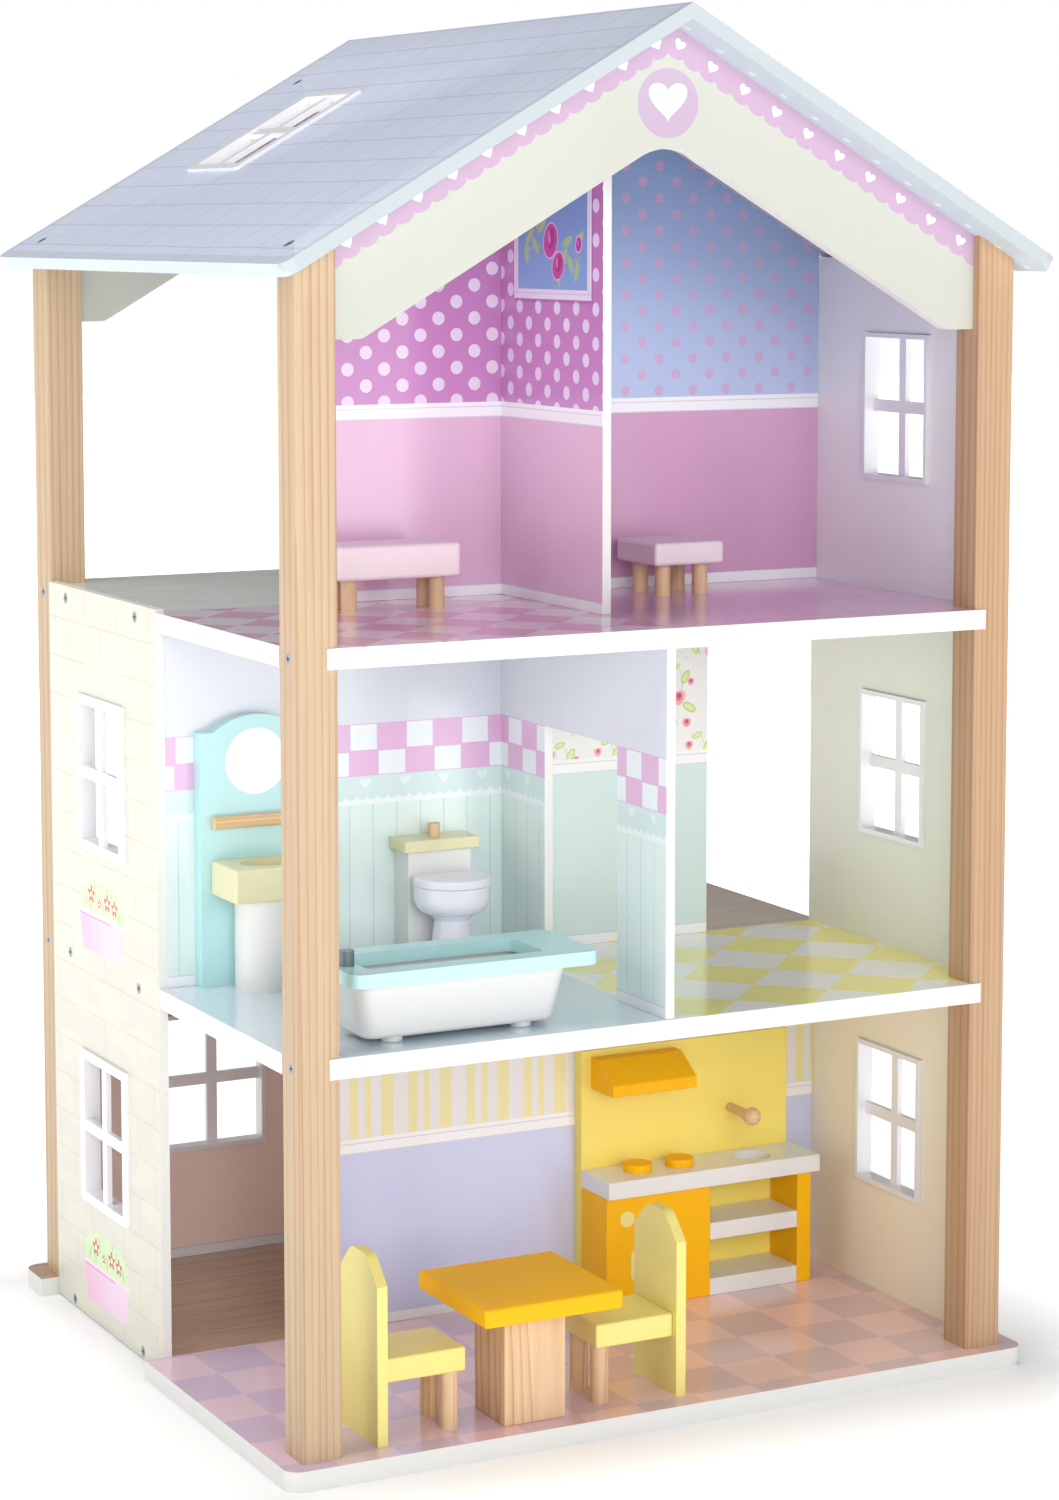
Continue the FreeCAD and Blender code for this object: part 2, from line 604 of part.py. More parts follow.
worktop = block("kitchen_worktop", ("worktop_width", "worktop_deep", "worktop_thick"),
                ("kitchen_left", "-kitchen_board - worktop_deep", worktop_low), "small_edge")
worktop_mid = "-kitchen_board - worktop_deep / 2"
worktop_top = "(board + worktop_under + worktop_thick)"
sink = dowel("sink_cutter", "sink_radius", "sink_deep + overcut",
             ("kitchen_left + sink_at", worktop_mid, worktop_top + " - sink_deep"))
node(minus("kitchen_worktop", worktop, sink), "kitchen_worktop")
hobs = [dowel("kitchen_hob_%d" % n, "hob_radius", "hob_thick",
              ("kitchen_left + hob_first + hob_pitch * %d" % n, worktop_mid, worktop_top)) for n in (0, 1)]
node(joined("kitchen_hobs", hobs), "kitchen_hobs")

hood_outline = [
    (0, 0), ("hood_deep", 0), ("hood_deep", "hood_lip"), ("hood_top", "hood_tall"), (0, "hood_tall"),
]
hood = slab("kitchen_hood", "YZ", [("-(%s)" % a if a else 0, b) for a, b in hood_outline], "hood_width",
            ("kitchen_left + hood_left", board_face, "board + hood_under"))
soften(hood, X, "small_edge")
node(hood, "kitchen_hood")

peg_turn = ((1, 0, 0), 90)
peg_spot = ("kitchen_left + peg_at", board_face, "board + peg_up")
peg = dowel("peg_shaft", "peg_radius", "peg_reach", peg_spot, peg_turn)
ball = doc.addObject("Part::Sphere", "peg_head")
ball.setExpression("Radius", bound("peg_ball"))
place(ball, (peg_spot[0], "-kitchen_board - peg_reach", peg_spot[2]))
tap = doc.addObject("Part::Fuse", "kitchen_tap_fused")
tap.Base = peg
tap.Tool = ball
node(tap, "kitchen_tap")

# ---------------------------------------------------------------- table and chairs
table_low = "(board + table_tall - table_thick)"
node(block("table_top", ("table_side", "table_side", "table_thick"),
           ("table_x - table_side / 2", "table_y - table_side / 2", table_low), "table_round"), "table_top")
node(block("table_block", ("block_side", "block_side", "table_tall - table_thick"),
           ("table_x - block_side / 2", "table_y - block_side / 2", "board"), "small_edge"), "table_block")


def chair(name, back_x, side):
    """A chair that faces +X for side 1 or -X for side -1: an arched back, a seat and two legs."""
    turn = None if side > 0 else HALF_TURN
    shoulder = "chair_shoulder"
    cheek = "chair_wide / 2 - (chair_tall - chair_shoulder)"
    outline = [
        ("-chair_wide / 2", 0), ("chair_wide / 2", 0), ("chair_wide / 2", shoulder),
        (cheek, "chair_tall"), ("-(%s)" % cheek, "chair_tall"), ("-chair_wide / 2", shoulder),
    ]
    body = slab(name + "_back", "YZ", outline, "chair_thick", (back_x, "chair_y", "board"), turn)
    lean = size("chair_tall") - size("chair_shoulder")
    tops = [V(0, a * (size("chair_wide") / 2 - lean), size("chair_tall")) for a in (-1, 1)]
    soften(body, X, "base_radius", tops, "crown")
    node(body, name + "_back")
    seat_x = "%s %s chair_thick" % (back_x, "+" if side > 0 else "-")
    low_x = seat_x if side > 0 else seat_x + " - seat_deep"
    node(block(name + "_seat", ("seat_deep", "seat_wide", "seat_thick"),
               (low_x, "chair_y - seat_wide / 2", "board + seat_up"), "table_round"), name + "_seat")
    legs = []
    for across in (-1, 1):
        spot = ("%s + chair_leg_out * %d" % (seat_x, side), "chair_y + chair_leg_pitch / 2 * %d" % across,
                "board")
        legs.append(dowel("%s_leg_%d" % (name, across + 1), "chair_leg", "seat_up", spot))
    node(joined(name + "_legs", legs), name + "_legs")


chair("left_chair", "left_chair_x", 1)
chair("right_chair", "right_chair_x", -1)

# ---------------------------------------------------------------- vanity
bath_level = "(board + storey)"
vanity_mid = "(vanity_left + vanity_width / 2)"
half_arch = size("vanity_arch_half")
board_shape = Part.makeBox(size("vanity_width"), size("vanity_board"), size("vanity_shoulder"),
                           V(-size("vanity_width") / 2, -size("vanity_board"), 0))
crown_low = [V(a * half_arch, 0, size("vanity_shoulder")) for a in (-1, 1)]
crown = Part.Arc(crown_low[0], V(0, 0, size("vanity_tall")), crown_low[1]).toShape()
crown_face = Part.Face(Part.Wire([crown, Part.makeLine(crown_low[1], crown_low[0])]))
board_shape = board_shape.fuse(crown_face.extrude(V(0, -size("vanity_board"), 0))).removeSplitter()
recess = Part.makeCylinder(size("mirror_radius"), size("mirror_recess") + size("overcut"),
                           V(0, -size("vanity_board") - size("overcut"), size("mirror_up")), Y)
vanity_spot = (vanity_mid, 0, bath_level)
node(feature("vanity_board", board_shape.cut(recess), vanity_spot), "vanity_board")
node(dowel("vanity_mirror_disc", "mirror_radius", "mirror_recess - 0.5",
           (vanity_mid, "mirror_recess - vanity_board", "board + storey + mirror_up"), peg_turn),
     "vanity_mirror")
bar_y = "-vanity_board - bar_radius"
node(dowel("vanity_bar_rod", "bar_radius", "bar_length",
           ("%s - bar_length / 2" % vanity_mid, bar_y, "board + storey + bar_up"), ((0, 1, 0), 90)),
     "vanity_bar")
basin = block("vanity_basin", ("basin_width", "basin_deep", "basin_thick"),
              ("%s - basin_width / 2" % vanity_mid, "-vanity_board - basin_deep",
               "board + storey + basin_under"), "table_round")
oval = Part.Face(Part.Wire(Part.Ellipse(V(0, 0, 0), size("bowl_long"), size("bowl_short")).toShape()))
bowl = feature("vanity_bowl_cutter", oval.extrude(V(0, 0, size("bowl_deep") + size("overcut"))),
               (vanity_mid, "-vanity_board - basin_deep / 2",
                "board + storey + basin_under + basin_thick - bowl_deep"))
node(minus("vanity_basin", basin, bowl), "vanity_basin")
column = doc.addObject("Part::Cylinder", "vanity_column_rod")
column.setExpression("Radius", bound("vanity_column"))
column.setExpression("Height", bound("basin_under"))
place(column, (vanity_mid, "-vanity_board - vanity_column + column_sunk", bath_level))
column_back = doc.addObject("Part::Box", "vanity_column_back")
column_back.setExpression("Length", bound("vanity_column * 2 + overcut * 2"))
column_back.setExpression("Width", bound("vanity_board"))
column_back.setExpression("Height", bound("basin_under"))
place(column_back, ("%s - vanity_column - overcut" % vanity_mid, "-vanity_board", bath_level))
node(minus("vanity_column", column, column_back), "vanity_column")

# ---------------------------------------------------------------- toilet
cistern_low = ("toilet_x - cistern_width / 2", "-cistern_thick", bath_level)
node(block("toilet_cistern", ("cistern_width", "cistern_thick", "cistern_tall"), cistern_low,
           "small_edge"), "toilet_cistern")
node(block("toilet_cap", ("cap_width", "cap_deep", "cap_thick"),
           ("toilet_x - cap_width / 2", "-cap_deep", "board + storey + cistern_tall"),
           "small_edge"), "toilet_cap")
node(dowel("toilet_button_rod", "button_radius", "button_tall",
           ("toilet_x", "-cap_deep / 2", "board + storey + cistern_tall + cap_thick")), "toilet_button")


def toilet_bowl_shape():
    """A turned bowl with upright sides, round underneath, on a flared foot, cut flat at the back."""
    rim_up, radius, belly = size("toilet_rim_up"), size("toilet_bowl_radius"), size("toilet_belly")
    waist, neck = size("toilet_foot"), size("toilet_neck")
    foot, plinth = size("toilet_base_radius"), size("toilet_plinth")
    low = rim_up - size("toilet_bowl_deep")
    under = Part.Arc(V(waist + neck, 0, low), V(radius - belly / 4, 0, low + belly * 0.3),
                     V(radius, 0, low + belly))
    edges = [
        Part.makeLine(V(0, 0, 0), V(foot, 0, 0)),
        Part.makeLine(V(foot, 0, 0), V(foot, 0, plinth)),
        Part.makeLine(V(foot, 0, plinth), V(waist, 0, low - neck)),
        Part.makeLine(V(waist, 0, low - neck), V(waist + neck, 0, low)),
        under.toShape(),
        Part.makeLine(V(radius, 0, low + belly), V(radius, 0, rim_up)),
        Part.makeLine(V(radius, 0, rim_up), V(0, 0, rim_up)),
        Part.makeLine(V(0, 0, rim_up), V(0, 0, 0)),
    ]
    solid = Part.Face(Part.Wire(edges)).revolve(V(0, 0, 0), Z, 360)
    behind = -size("cistern_thick") - size("toilet_bowl_y")
    low_corner = V(-radius * 2, behind, -size("overcut"))
    return solid.cut(Part.makeBox(radius * 4, radius * 2, rim_up * 2, low_corner))


bowl_spot = ("toilet_x", "toilet_bowl_y", bath_level)
rim_up = size("toilet_rim_up")
pin_radius, pin_half = size("hinge_radius"), size("hinge_length") / 2
pin_z = rim_up + pin_radius + size("lid_gap")
pin_y = size("hinge_y") - size("toilet_bowl_y")
lug_from, lug_long, lug_half = pin_half + size("lug_gap"), size("lug_length"), size("lug_half")
sunk = size("overcut")
bowl_shape = toilet_bowl_shape()
for start in (lug_from, -lug_from - lug_long):
    lug = Part.makeCylinder(pin_radius, lug_long, V(start, pin_y, pin_z), X)
    lug_block = Part.makeBox(lug_long, lug_half * 2, pin_z - rim_up + sunk,
                             V(start, pin_y - lug_half, rim_up - sunk))
    bowl_shape = bowl_shape.fuse([lug, lug_block])
well_floor = V(0, -size("toilet_well_forward"), rim_up - size("toilet_well_deep"))
well = Part.makeCone(size("toilet_well_foot"), size("toilet_well"), size("toilet_well_deep"), well_floor)
node(feature("toilet_bowl", bowl_shape.cut(well).removeSplitter(), bowl_spot), "toilet_bowl")

lid_low = rim_up + size("lid_gap")
lid_radius, lid_thick = size("lid_radius"), size("lid_thick")
lid = Part.makeCylinder(lid_radius, lid_thick, V(0, 0, lid_low))
top_edges = [e for e in lid.Edges
             if e.Curve.TypeId == "Part::GeomCircle" and e.CenterOfMass.z > lid_low + lid_thick / 2]
lid = lid.makeFillet(size("table_round"), top_edges)
lid_back = Part.makeBox(lid_radius * 3, lid_radius, lid_thick * 3,
                        V(-lid_radius * 1.5, pin_y - pin_radius - size("lid_clear"), lid_low - lid_thick))
knuckle = Part.makeCylinder(pin_radius, pin_half * 2, V(-pin_half, pin_y, pin_z), X)
web_reach = size("web_reach")
web = Part.makeBox(pin_half * 2, pin_radius + web_reach, pin_radius,
                   V(-pin_half, pin_y - pin_radius - web_reach, pin_z - pin_radius / 2))
node(feature("toilet_lid", lid.cut(lid_back).fuse([knuckle, web]).removeSplitter(), bowl_spot), "toilet_lid")

# ---------------------------------------------------------------- bath
def rounded_upright(name, box, radius):
    """A box with its four upright edges rounded."""
    upright = [i for i, e in enumerate(box.Shape.Edges, start=1)
               if abs(e.tangentAt(e.FirstParameter).dot(Z)) > 0.9]
    eased = doc.addObject("Part::Fillet", name)
    eased.Base = box
    eased.Edges = [(i, radius, radius) for i in upright]
    doc.recompute()
    return eased


rim = block("bath_rim", ("bath_long", "bath_wide", "rim_thick"),
            ("bath_left", "bath_front", "board + storey + rim_up"))
well_lengths = ("bath_long - rim_left - rim_right", "bath_wide - rim_side * 2", "rim_thick + overcut * 2")
well_box = block("bath_well_cutter", well_lengths,
                 ("bath_left + rim_left", "bath_front + rim_side", "board + storey + rim_up - overcut"))
rim_round = rounded_upright("bath_rim_round", rim, size("rim_round"))
well_round = rounded_upright("bath_well_round", well_box, size("rim_round") / 2)
node(minus("bath_rim", rim_round, well_round), "bath_rim")


def tub_loop(inset, height, radius):
    """A rounded rectangle of the tub at a height, drawn in from its top outline."""
    long, wide = size("tub_long"), size("bath_wide") - size("tub_inset") * 2
    x0, y0, x1, y1 = inset, inset, long - inset, wide - inset
    k = radius
    d = radius * (1 - math.sqrt(0.5))
    lines = [(V(x0 + k, y0, height), V(x1 - k, y0, height)),
             (V(x1, y0 + k, height), V(x1, y1 - k, height)),
             (V(x1 - k, y1, height), V(x0 + k, y1, height)),
             (V(x0, y1 - k, height), V(x0, y0 + k, height))]
    middles = [V(x1 - d, y0 + d, height), V(x1 - d, y1 - d, height), V(x0 + d, y1 - d, height),
               V(x0 + d, y0 + d, height)]
    edges = []
    for i in range(4):
        edges.append(Part.makeLine(*lines[i]))
        edges.append(Part.Arc(lines[i][1], middles[i], lines[(i + 1) % 4][0]).toShape())
    return Part.Wire(edges)


taper, thick, tub_round = size("tub_taper"), size("tub_wall"), size("tub_round")
tub_low = size("rim_up") - size("tub_deep")
outside = Part.makeLoft([tub_loop(taper, tub_low, tub_round), tub_loop(0, size("rim_up"), tub_round)],
                        True, True)
low_edges = [e for e in outside.Edges if abs(e.BoundBox.ZMax - tub_low) < 1e-3]
outside = outside.makeFillet(size("tub_heel"), low_edges)
inner_round = tub_round - thick / 2
inside = Part.makeLoft([tub_loop(taper + thick, tub_low + thick, inner_round),
                        tub_loop(thick, size("rim_up") + size("overcut"), inner_round)], True, True)
tub = outside.cut(inside)
feet = []
tub_wide = size("bath_wide") - size("tub_inset") * 2
for x in (size("foot_in_long"), size("tub_long") - size("foot_in_long")):
    for y in (size("foot_in_wide"), tub_wide - size("foot_in_wide")):
        foot = Part.makeCylinder(size("foot_radius"), size("foot_tall") + size("overcut"), V(x, y, 0))
        round_edges = [e for e in foot.Edges if e.Curve.TypeId == "Part::GeomCircle"]
        low_round = [e for e in round_edges if e.CenterOfMass.z < size("foot_tall") / 2]
        feet.append(foot.makeFillet(size("foot_round"), low_round))
tub = tub.fuse(feet).removeSplitter()
node(feature("bath_tub", tub, ("bath_left + tub_from", "bath_front + tub_inset", bath_level)), "bath_tub")
node(dowel("bath_tap_rod", "tap_radius", "tap_tall",
           ("bath_left + tap_in", "bath_front + tap_back", "board + storey + rim_up + rim_thick")),
     "bath_tap")


# ---------------------------------------------------------------- bench and stool
def seat(name):
    """A rounded seat block on four round legs."""
    left, width = name + "_left", name + "_width"
    front, deep, thick = name + "_front", name + "_deep", name + "_thick"
    node(block(name + "_seat", (width, deep, thick), (left, front, second_level + " + leg_tall"),
               "soft_edge"), name + "_seat")
    legs = []
    for i, x in enumerate((left + " + leg_inset", "%s + %s - leg_inset" % (left, width))):
        for j, y in enumerate((front + " + leg_inset", "%s + %s - leg_inset" % (front, deep))):
            legs.append(dowel("%s_leg_%d_%d" % (name, i, j), "leg_radius", "leg_tall", (x, y, second_level)))
    node(joined(name + "_legs", legs), name + "_legs")


seat("bench")
seat("stool")

# ---------------------------------------------------------------- check and write
doc.recompute()
for item in doc.Objects:
    if "Invalid" in item.State or "Error" in item.State:
        raise RuntimeError("%s did not build: %s" % (item.Name, item.State))
os.makedirs("parts", exist_ok=True)
for item in NODES:
    if item.Shape.isNull() or not item.Shape.isValid():
        raise RuntimeError("the shape of %s is not valid" % item.Label)
    item.Shape.exportStep("parts/%s.step" % item.Label)
    box = item.Shape.BoundBox
    spans = (box.XMin, box.XMax, box.YMin, box.YMax, box.ZMin, box.ZMax)
    print(item.Label, len(item.Shape.Solids), "solids", ["%.1f" % value for value in spans])
print(len(NODES), "nodes")
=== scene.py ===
import json
import math
import bmesh
import bpy
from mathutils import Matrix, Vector


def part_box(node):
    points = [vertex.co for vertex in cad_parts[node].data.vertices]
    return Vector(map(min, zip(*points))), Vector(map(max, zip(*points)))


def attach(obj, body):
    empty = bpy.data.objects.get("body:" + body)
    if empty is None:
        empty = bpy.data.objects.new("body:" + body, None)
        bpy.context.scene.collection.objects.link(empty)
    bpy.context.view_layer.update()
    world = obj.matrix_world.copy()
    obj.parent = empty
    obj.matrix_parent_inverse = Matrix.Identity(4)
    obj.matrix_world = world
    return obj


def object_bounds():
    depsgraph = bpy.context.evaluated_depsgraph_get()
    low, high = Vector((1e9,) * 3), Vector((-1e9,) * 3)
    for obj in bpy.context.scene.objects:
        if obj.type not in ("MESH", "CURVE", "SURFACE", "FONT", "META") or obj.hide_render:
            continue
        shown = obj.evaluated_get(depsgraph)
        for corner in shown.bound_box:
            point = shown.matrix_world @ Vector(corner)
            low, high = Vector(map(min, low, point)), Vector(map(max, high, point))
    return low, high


# The looks of a four-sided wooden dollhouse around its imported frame: printed boards, pine posts,
# painted furniture, a studio floor, soft lights and a camera. Blender works in metres. The prints
# below are laid out in millimetres.

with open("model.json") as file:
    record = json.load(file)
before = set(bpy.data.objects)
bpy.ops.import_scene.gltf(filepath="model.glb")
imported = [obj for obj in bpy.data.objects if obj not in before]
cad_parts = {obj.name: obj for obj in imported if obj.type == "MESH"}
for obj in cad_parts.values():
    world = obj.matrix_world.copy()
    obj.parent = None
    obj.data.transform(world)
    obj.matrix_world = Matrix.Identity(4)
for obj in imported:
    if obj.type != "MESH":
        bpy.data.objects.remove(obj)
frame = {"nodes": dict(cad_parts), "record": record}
cad_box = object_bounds()
nodes = frame["nodes"]
MM = 0.001


def span(node):
    """(lowest, highest) corner of a CAD node in millimetres."""
    low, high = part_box(node)
    return low / MM, high / MM


BASE = span("base_plate")[1].z
FIRST = span("first_floor")[1].z
SECOND = span("second_floor")[1].z
RIDGE = cad_box[1][2] / MM
BOARD_THICK = 12.0
ROOF_THICK = 8.2
SLOPE = math.radians(30)
FACING = 0.7           # a face whose normal leans this far towards an axis counts as facing it
DOORWAY_X = 3.0        # the floors' prints change at the partitions' right face
ROOM_Y = 3.0           # and behind the cross walls' middle
PLANK_WIDTH = 21.0
PLANK_STREAK = (90, 2.6, 9)


# ---------------------------------------------------------------- numbers and colours in nodes
def rgb(red, green, blue):
    """A colour given in 0-255 steps as the linear values that the nodes use."""
    linear = []
    for part in (red, green, blue):
        part = part / 255
        linear.append(part / 12.92 if part <= 0.04045 else ((part + 0.055) / 1.055) ** 2.4)
    return (*linear, 1.0)


class Number:
    """A value that differs over a surface. Masks are numbers of 0 or 1: & is both, | is either."""

    def __init__(self, tree, socket):
        self.tree = tree
        self.socket = socket

    def join(self, operation, *others):
        node = self.tree.nodes.new("ShaderNodeMath")
        node.operation = operation
        for index, value in enumerate((self, *others)):
            if isinstance(value, Number):
                self.tree.links.new(value.socket, node.inputs[index])
            else:
                node.inputs[index].default_value = value
        return Number(self.tree, node.outputs[0])

    def __add__(self, other):
        return self.join("ADD", other)

    def __sub__(self, other):
        return self.join("SUBTRACT", other)

    def __mul__(self, other):
        return self.join("MULTIPLY", other)

    def __truediv__(self, other):
        return self.join("DIVIDE", other)

    def __neg__(self):
        return self.join("MULTIPLY", -1.0)

    def __abs__(self):
        return self.join("ABSOLUTE")

    def __gt__(self, other):
        return self.join("GREATER_THAN", other)

    def __lt__(self, other):
        return self.join("LESS_THAN", other)

    def __and__(self, other):
        return self.join("MULTIPLY", other)

    def __or__(self, other):
        return self.join("MAXIMUM", other)

    def __invert__(self):
        return self.join("MULTIPLY_ADD", -1.0, 1.0)

    def clamped(self):
        node_value = self.join("MULTIPLY", 1.0)
        node_value.socket.node.use_clamp = True
        return node_value

    def cell(self, pitch, start=0.0):
        """Signed distance from the nearest of the points start + any number of pitches."""
        return (((self - (start - pitch / 2)) / pitch).join("FRACT") - 0.5) * pitch

    def row(self, pitch, start=0.0):
        """Which whole pitch this is, counted from start."""
        return ((self - start) / pitch).join("FLOOR")

    def odd(self):
        return (self * 0.5).join("FRACT") > 0.25

    def between(self, low, high):
        return (self > low) & (self < high)


class Paint:
    """One material: its coordinates in millimetres, its masks, and the shader they end in."""

    def __init__(self, name, roughness, coat=0.0, specular=0.5):
        self.material = bpy.data.materials.new(name)
        self.material.use_nodes = True
        self.tree = self.material.node_tree
        self.shader = self.tree.nodes["Principled BSDF"]
        self.shader.inputs["Roughness"].default_value = roughness
        self.shader.inputs["Coat Weight"].default_value = coat
        self.shader.inputs["Coat Roughness"].default_value = 0.12
        self.shader.inputs["Specular IOR Level"].default_value = specular
        coords = self.tree.nodes.new("ShaderNodeTexCoord")
        scaled = self.tree.nodes.new("ShaderNodeVectorMath")
        scaled.operation = "SCALE"
        scaled.inputs["Scale"].default_value = 1 / MM
        self.tree.links.new(coords.outputs["Object"], scaled.inputs[0])
        self.place = scaled.outputs[0]
        self.x, self.y, self.z = self.parts(self.place)
        self.nx, self.ny, self.nz = self.parts(coords.outputs["Normal"])
        self.roughness = roughness

    def parts(self, socket):
        node = self.tree.nodes.new("ShaderNodeSeparateXYZ")
        self.tree.links.new(socket, node.inputs[0])
        return [Number(self.tree, out) for out in node.outputs]

    def mix(self, amount, under, over):
        """under where amount is 0 and over where it is 1."""
        node = self.tree.nodes.new("ShaderNodeMix")
        node.data_type = "RGBA"
        if isinstance(amount, Number):
            self.tree.links.new(amount.socket, node.inputs[0])
        else:
            node.inputs[0].default_value = amount
        for index, colour in ((6, under), (7, over)):
            if isinstance(colour, tuple):
                node.inputs[index].default_value = colour
            else:
                self.tree.links.new(colour, node.inputs[index])
        return node.outputs[2]

    def noise(self, sizes, detail=2.0, rough=0.5, shift=0.0):
        """Soft noise from 0 to 1 with grains of the given size along X, Y and Z, in millimetres."""
        stretched = self.tree.nodes.new("ShaderNodeVectorMath")
        stretched.operation = "MULTIPLY_ADD"
        self.tree.links.new(self.place, stretched.inputs[0])
        stretched.inputs[1].default_value = [1 / size for size in sizes]
        stretched.inputs[2].default_value = (shift, shift * 1.7, shift * 0.6)
        node = self.tree.nodes.new("ShaderNodeTexNoise")
        node.inputs["Scale"].default_value = 1.0
        node.inputs["Detail"].default_value = detail
        node.inputs["Roughness"].default_value = rough
        self.tree.links.new(stretched.outputs[0], node.inputs["Vector"])
        return Number(self.tree, node.outputs[0])

    def finish(self, colour, height=None, depth=0.05, gloss_noise=0.08, gloss_size=30.0):
        """Ends the material: colour, a bump of that depth in millimetres, and uneven gloss."""
        self.tree.links.new(colour, self.shader.inputs["Base Color"])
        uneven = (self.noise((gloss_size,) * 3) - 0.5) * (gloss_noise * 2) + self.roughness
        self.tree.links.new(uneven.socket, self.shader.inputs["Roughness"])
        if height is not None:
            bump = self.tree.nodes.new("ShaderNodeBump")
            bump.inputs["Strength"].default_value = 1.0
            bump.inputs["Distance"].default_value = depth * MM
            self.tree.links.new(height.socket, bump.inputs["Height"])
            self.tree.links.new(bump.outputs[0], self.shader.inputs["Normal"])
        return self.material


def disc(u, v, radius):
    return (u * u + v * v) < radius * radius


def ellipse(u, v, centre, halves, degrees=0.0):
    """A leaning ellipse with its long half first."""
    turn = math.radians(degrees)
    du = u - centre[0]
    dv = v - centre[1]
    along = du * math.cos(turn) + dv * math.sin(turn)
    across = dv * math.cos(turn) - du * math.sin(turn)
    return disc(along / halves[0], across / halves[1], 1.0)


def heart(u, v, half):
    """A heart about twice half wide, point down, centred on u = v = 0."""
    across = u / half
    up = v / (half * 0.86) + 0.22
    lobe = up * 1.25 - abs(across).join("SQRT")
    return (across * across + lobe * lobe) < 1.0


def flower(u, v, radius, petals=5):
    """Round petals about a centre."""
    distance = (u * u + v * v).join("SQRT")
    turn = u.join("ARCTAN2", v)
    edge = (turn * petals).join("COSINE") * (radius * 0.28) + radius * 0.72
    return distance.join("SUBTRACT", edge) < 0.0


def scallops(along, up, pitch, drop, start=0.0):
    """True above a hanging row of round scallops whose tips reach down to 0."""
    across = along.cell(pitch, start) / (pitch / 2)
    curve = (~(across * across)).join("MAXIMUM", 0.0).join("SQRT")
    return (up + curve * drop) > drop


# ---------------------------------------------------------------- finishes
EDGE_WHITE = rgb(222, 222, 220)


def board_grain(paint):
    """The faint unevenness of lacquer over a board."""
    return paint.noise((1.6, 1.6, 1.6), 3.0) * 0.4 + paint.noise((9, 9, 9), 2.0)


def wood(name, light, dark, along, ring, wander=1.4):
    """Bare timber with its grain along one axis: growth rings, slow streaks and fine fibres."""
    paint = Paint(name, 0.5)

    def grain(long, short):
        sizes = [short] * 3
        sizes["xyz".index(along)] = long
        return sizes

    across = paint.y + paint.z * 0.6 if along == "x" else paint.x + paint.y * 0.55
    bend = (paint.noise(grain(420, 26), 1.0) - 0.5) * (ring * wander)
    rings = ((across + bend) / ring).join("FRACT")
    late = (rings * rings * rings * rings).clamped()
    streak = paint.noise(grain(300, 7), 3.0, 0.55, 3.0)
    fibre = paint.noise(grain(40, 0.45), 2.0, 0.7, 7.0)
    amount = late * 0.8 * (streak + 0.3) + streak * 0.7 + fibre * 0.4 - 0.42
    colour = paint.mix(amount.clamped(), light, dark)
    return paint.finish(colour, fibre + late * 0.4, 0.06, 0.06)


def painted(name, colour, roughness=0.33, shade=0.94, coat=0.15, specular=0.5):
    """Sprayed paint on turned and cut wood: soft tone changes and a trace of orange peel."""
    paint = Paint(name, roughness, coat, specular)
    darker = (*[part * shade for part in colour[:3]], 1.0)
    tone = paint.mix(paint.noise((34, 34, 34), 2.0), colour, darker)
    peel = paint.noise((1.4, 1.4, 1.4), 2.0) * 0.7 + paint.noise((0.5, 0.5, 6), 2.0, shift=5.0) * 0.5
    return paint.finish(tone, peel, 0.035)


def moulded(name, colour, roughness=0.22):
    """Injection-moulded plastic."""
    paint = Paint(name, roughness, 0.1)
    tone = paint.mix(paint.noise((25, 25, 25)), colour, (*[part * 0.97 for part in colour[:3]], 1.0))
    return paint.finish(tone, paint.noise((3, 3, 3), 1.0), 0.03, 0.05)


def metal(name, colour):
    """Zinc-plated steel."""
    paint = Paint(name, 0.42)
    paint.shader.inputs["Metallic"].default_value = 0.85
    tone = paint.mix(paint.noise((1.5, 1.5, 1.5), 3.0), colour, (*[part * 0.75 for part in colour[:3]], 1.0))
    return paint.finish(tone, paint.noise((0.3, 0.3, 0.3), 2.0), 0.03, 0.1, 2.0)


def planks(paint, light, dark, seam):
    """Printed floorboards along X: streaks along the boards and a thin dark seam between them."""
    streak = paint.noise(PLANK_STREAK, 4.0, 0.65)
    fine = paint.noise([size * 0.3 for size in PLANK_STREAK], 3.0, 0.6, 9.0)
    tone = paint.mix((streak * 0.7 + fine * 0.5 - 0.1).clamped(), light, dark)
    gap = abs(paint.y.cell(PLANK_WIDTH)) > PLANK_WIDTH / 2 - 0.45
    return paint.mix(gap * 0.55, tone, seam)


def base_board():
    paint = Paint("printed_base_board", 0.2, 0.5)
    squares = (paint.x.row(39.8, -219.0) + paint.y.row(41.4, -2.8)).odd()
    warm = ((paint.x + 190) / 300).clamped()
    light = paint.mix(warm, rgb(236, 206, 222), rgb(250, 212, 206))
    dark = paint.mix(warm, rgb(212, 190, 220), rgb(224, 196, 198))
    tiles = paint.mix(squares, light, dark)
    tiles = paint.mix(paint.noise((45, 45, 45), 1.0) * 0.2, tiles, rgb(225, 190, 205))
    boards = planks(paint, rgb(226, 196, 168), rgb(140, 104, 80), rgb(112, 80, 62))
    top = paint.mix(paint.y > 0.0, tiles, boards)
    colour = paint.mix(paint.nz > FACING, EDGE_WHITE, top)
    return paint.finish(colour, board_grain(paint), 0.02, 0.04)


def diamonds(u, v, pitch, start_u, start_v):
    """1 inside every second square of a checkerboard turned by 45 degrees."""
    return (abs(u.cell(pitch, start_u)) + abs(v.cell(pitch, start_v))) < pitch / 2


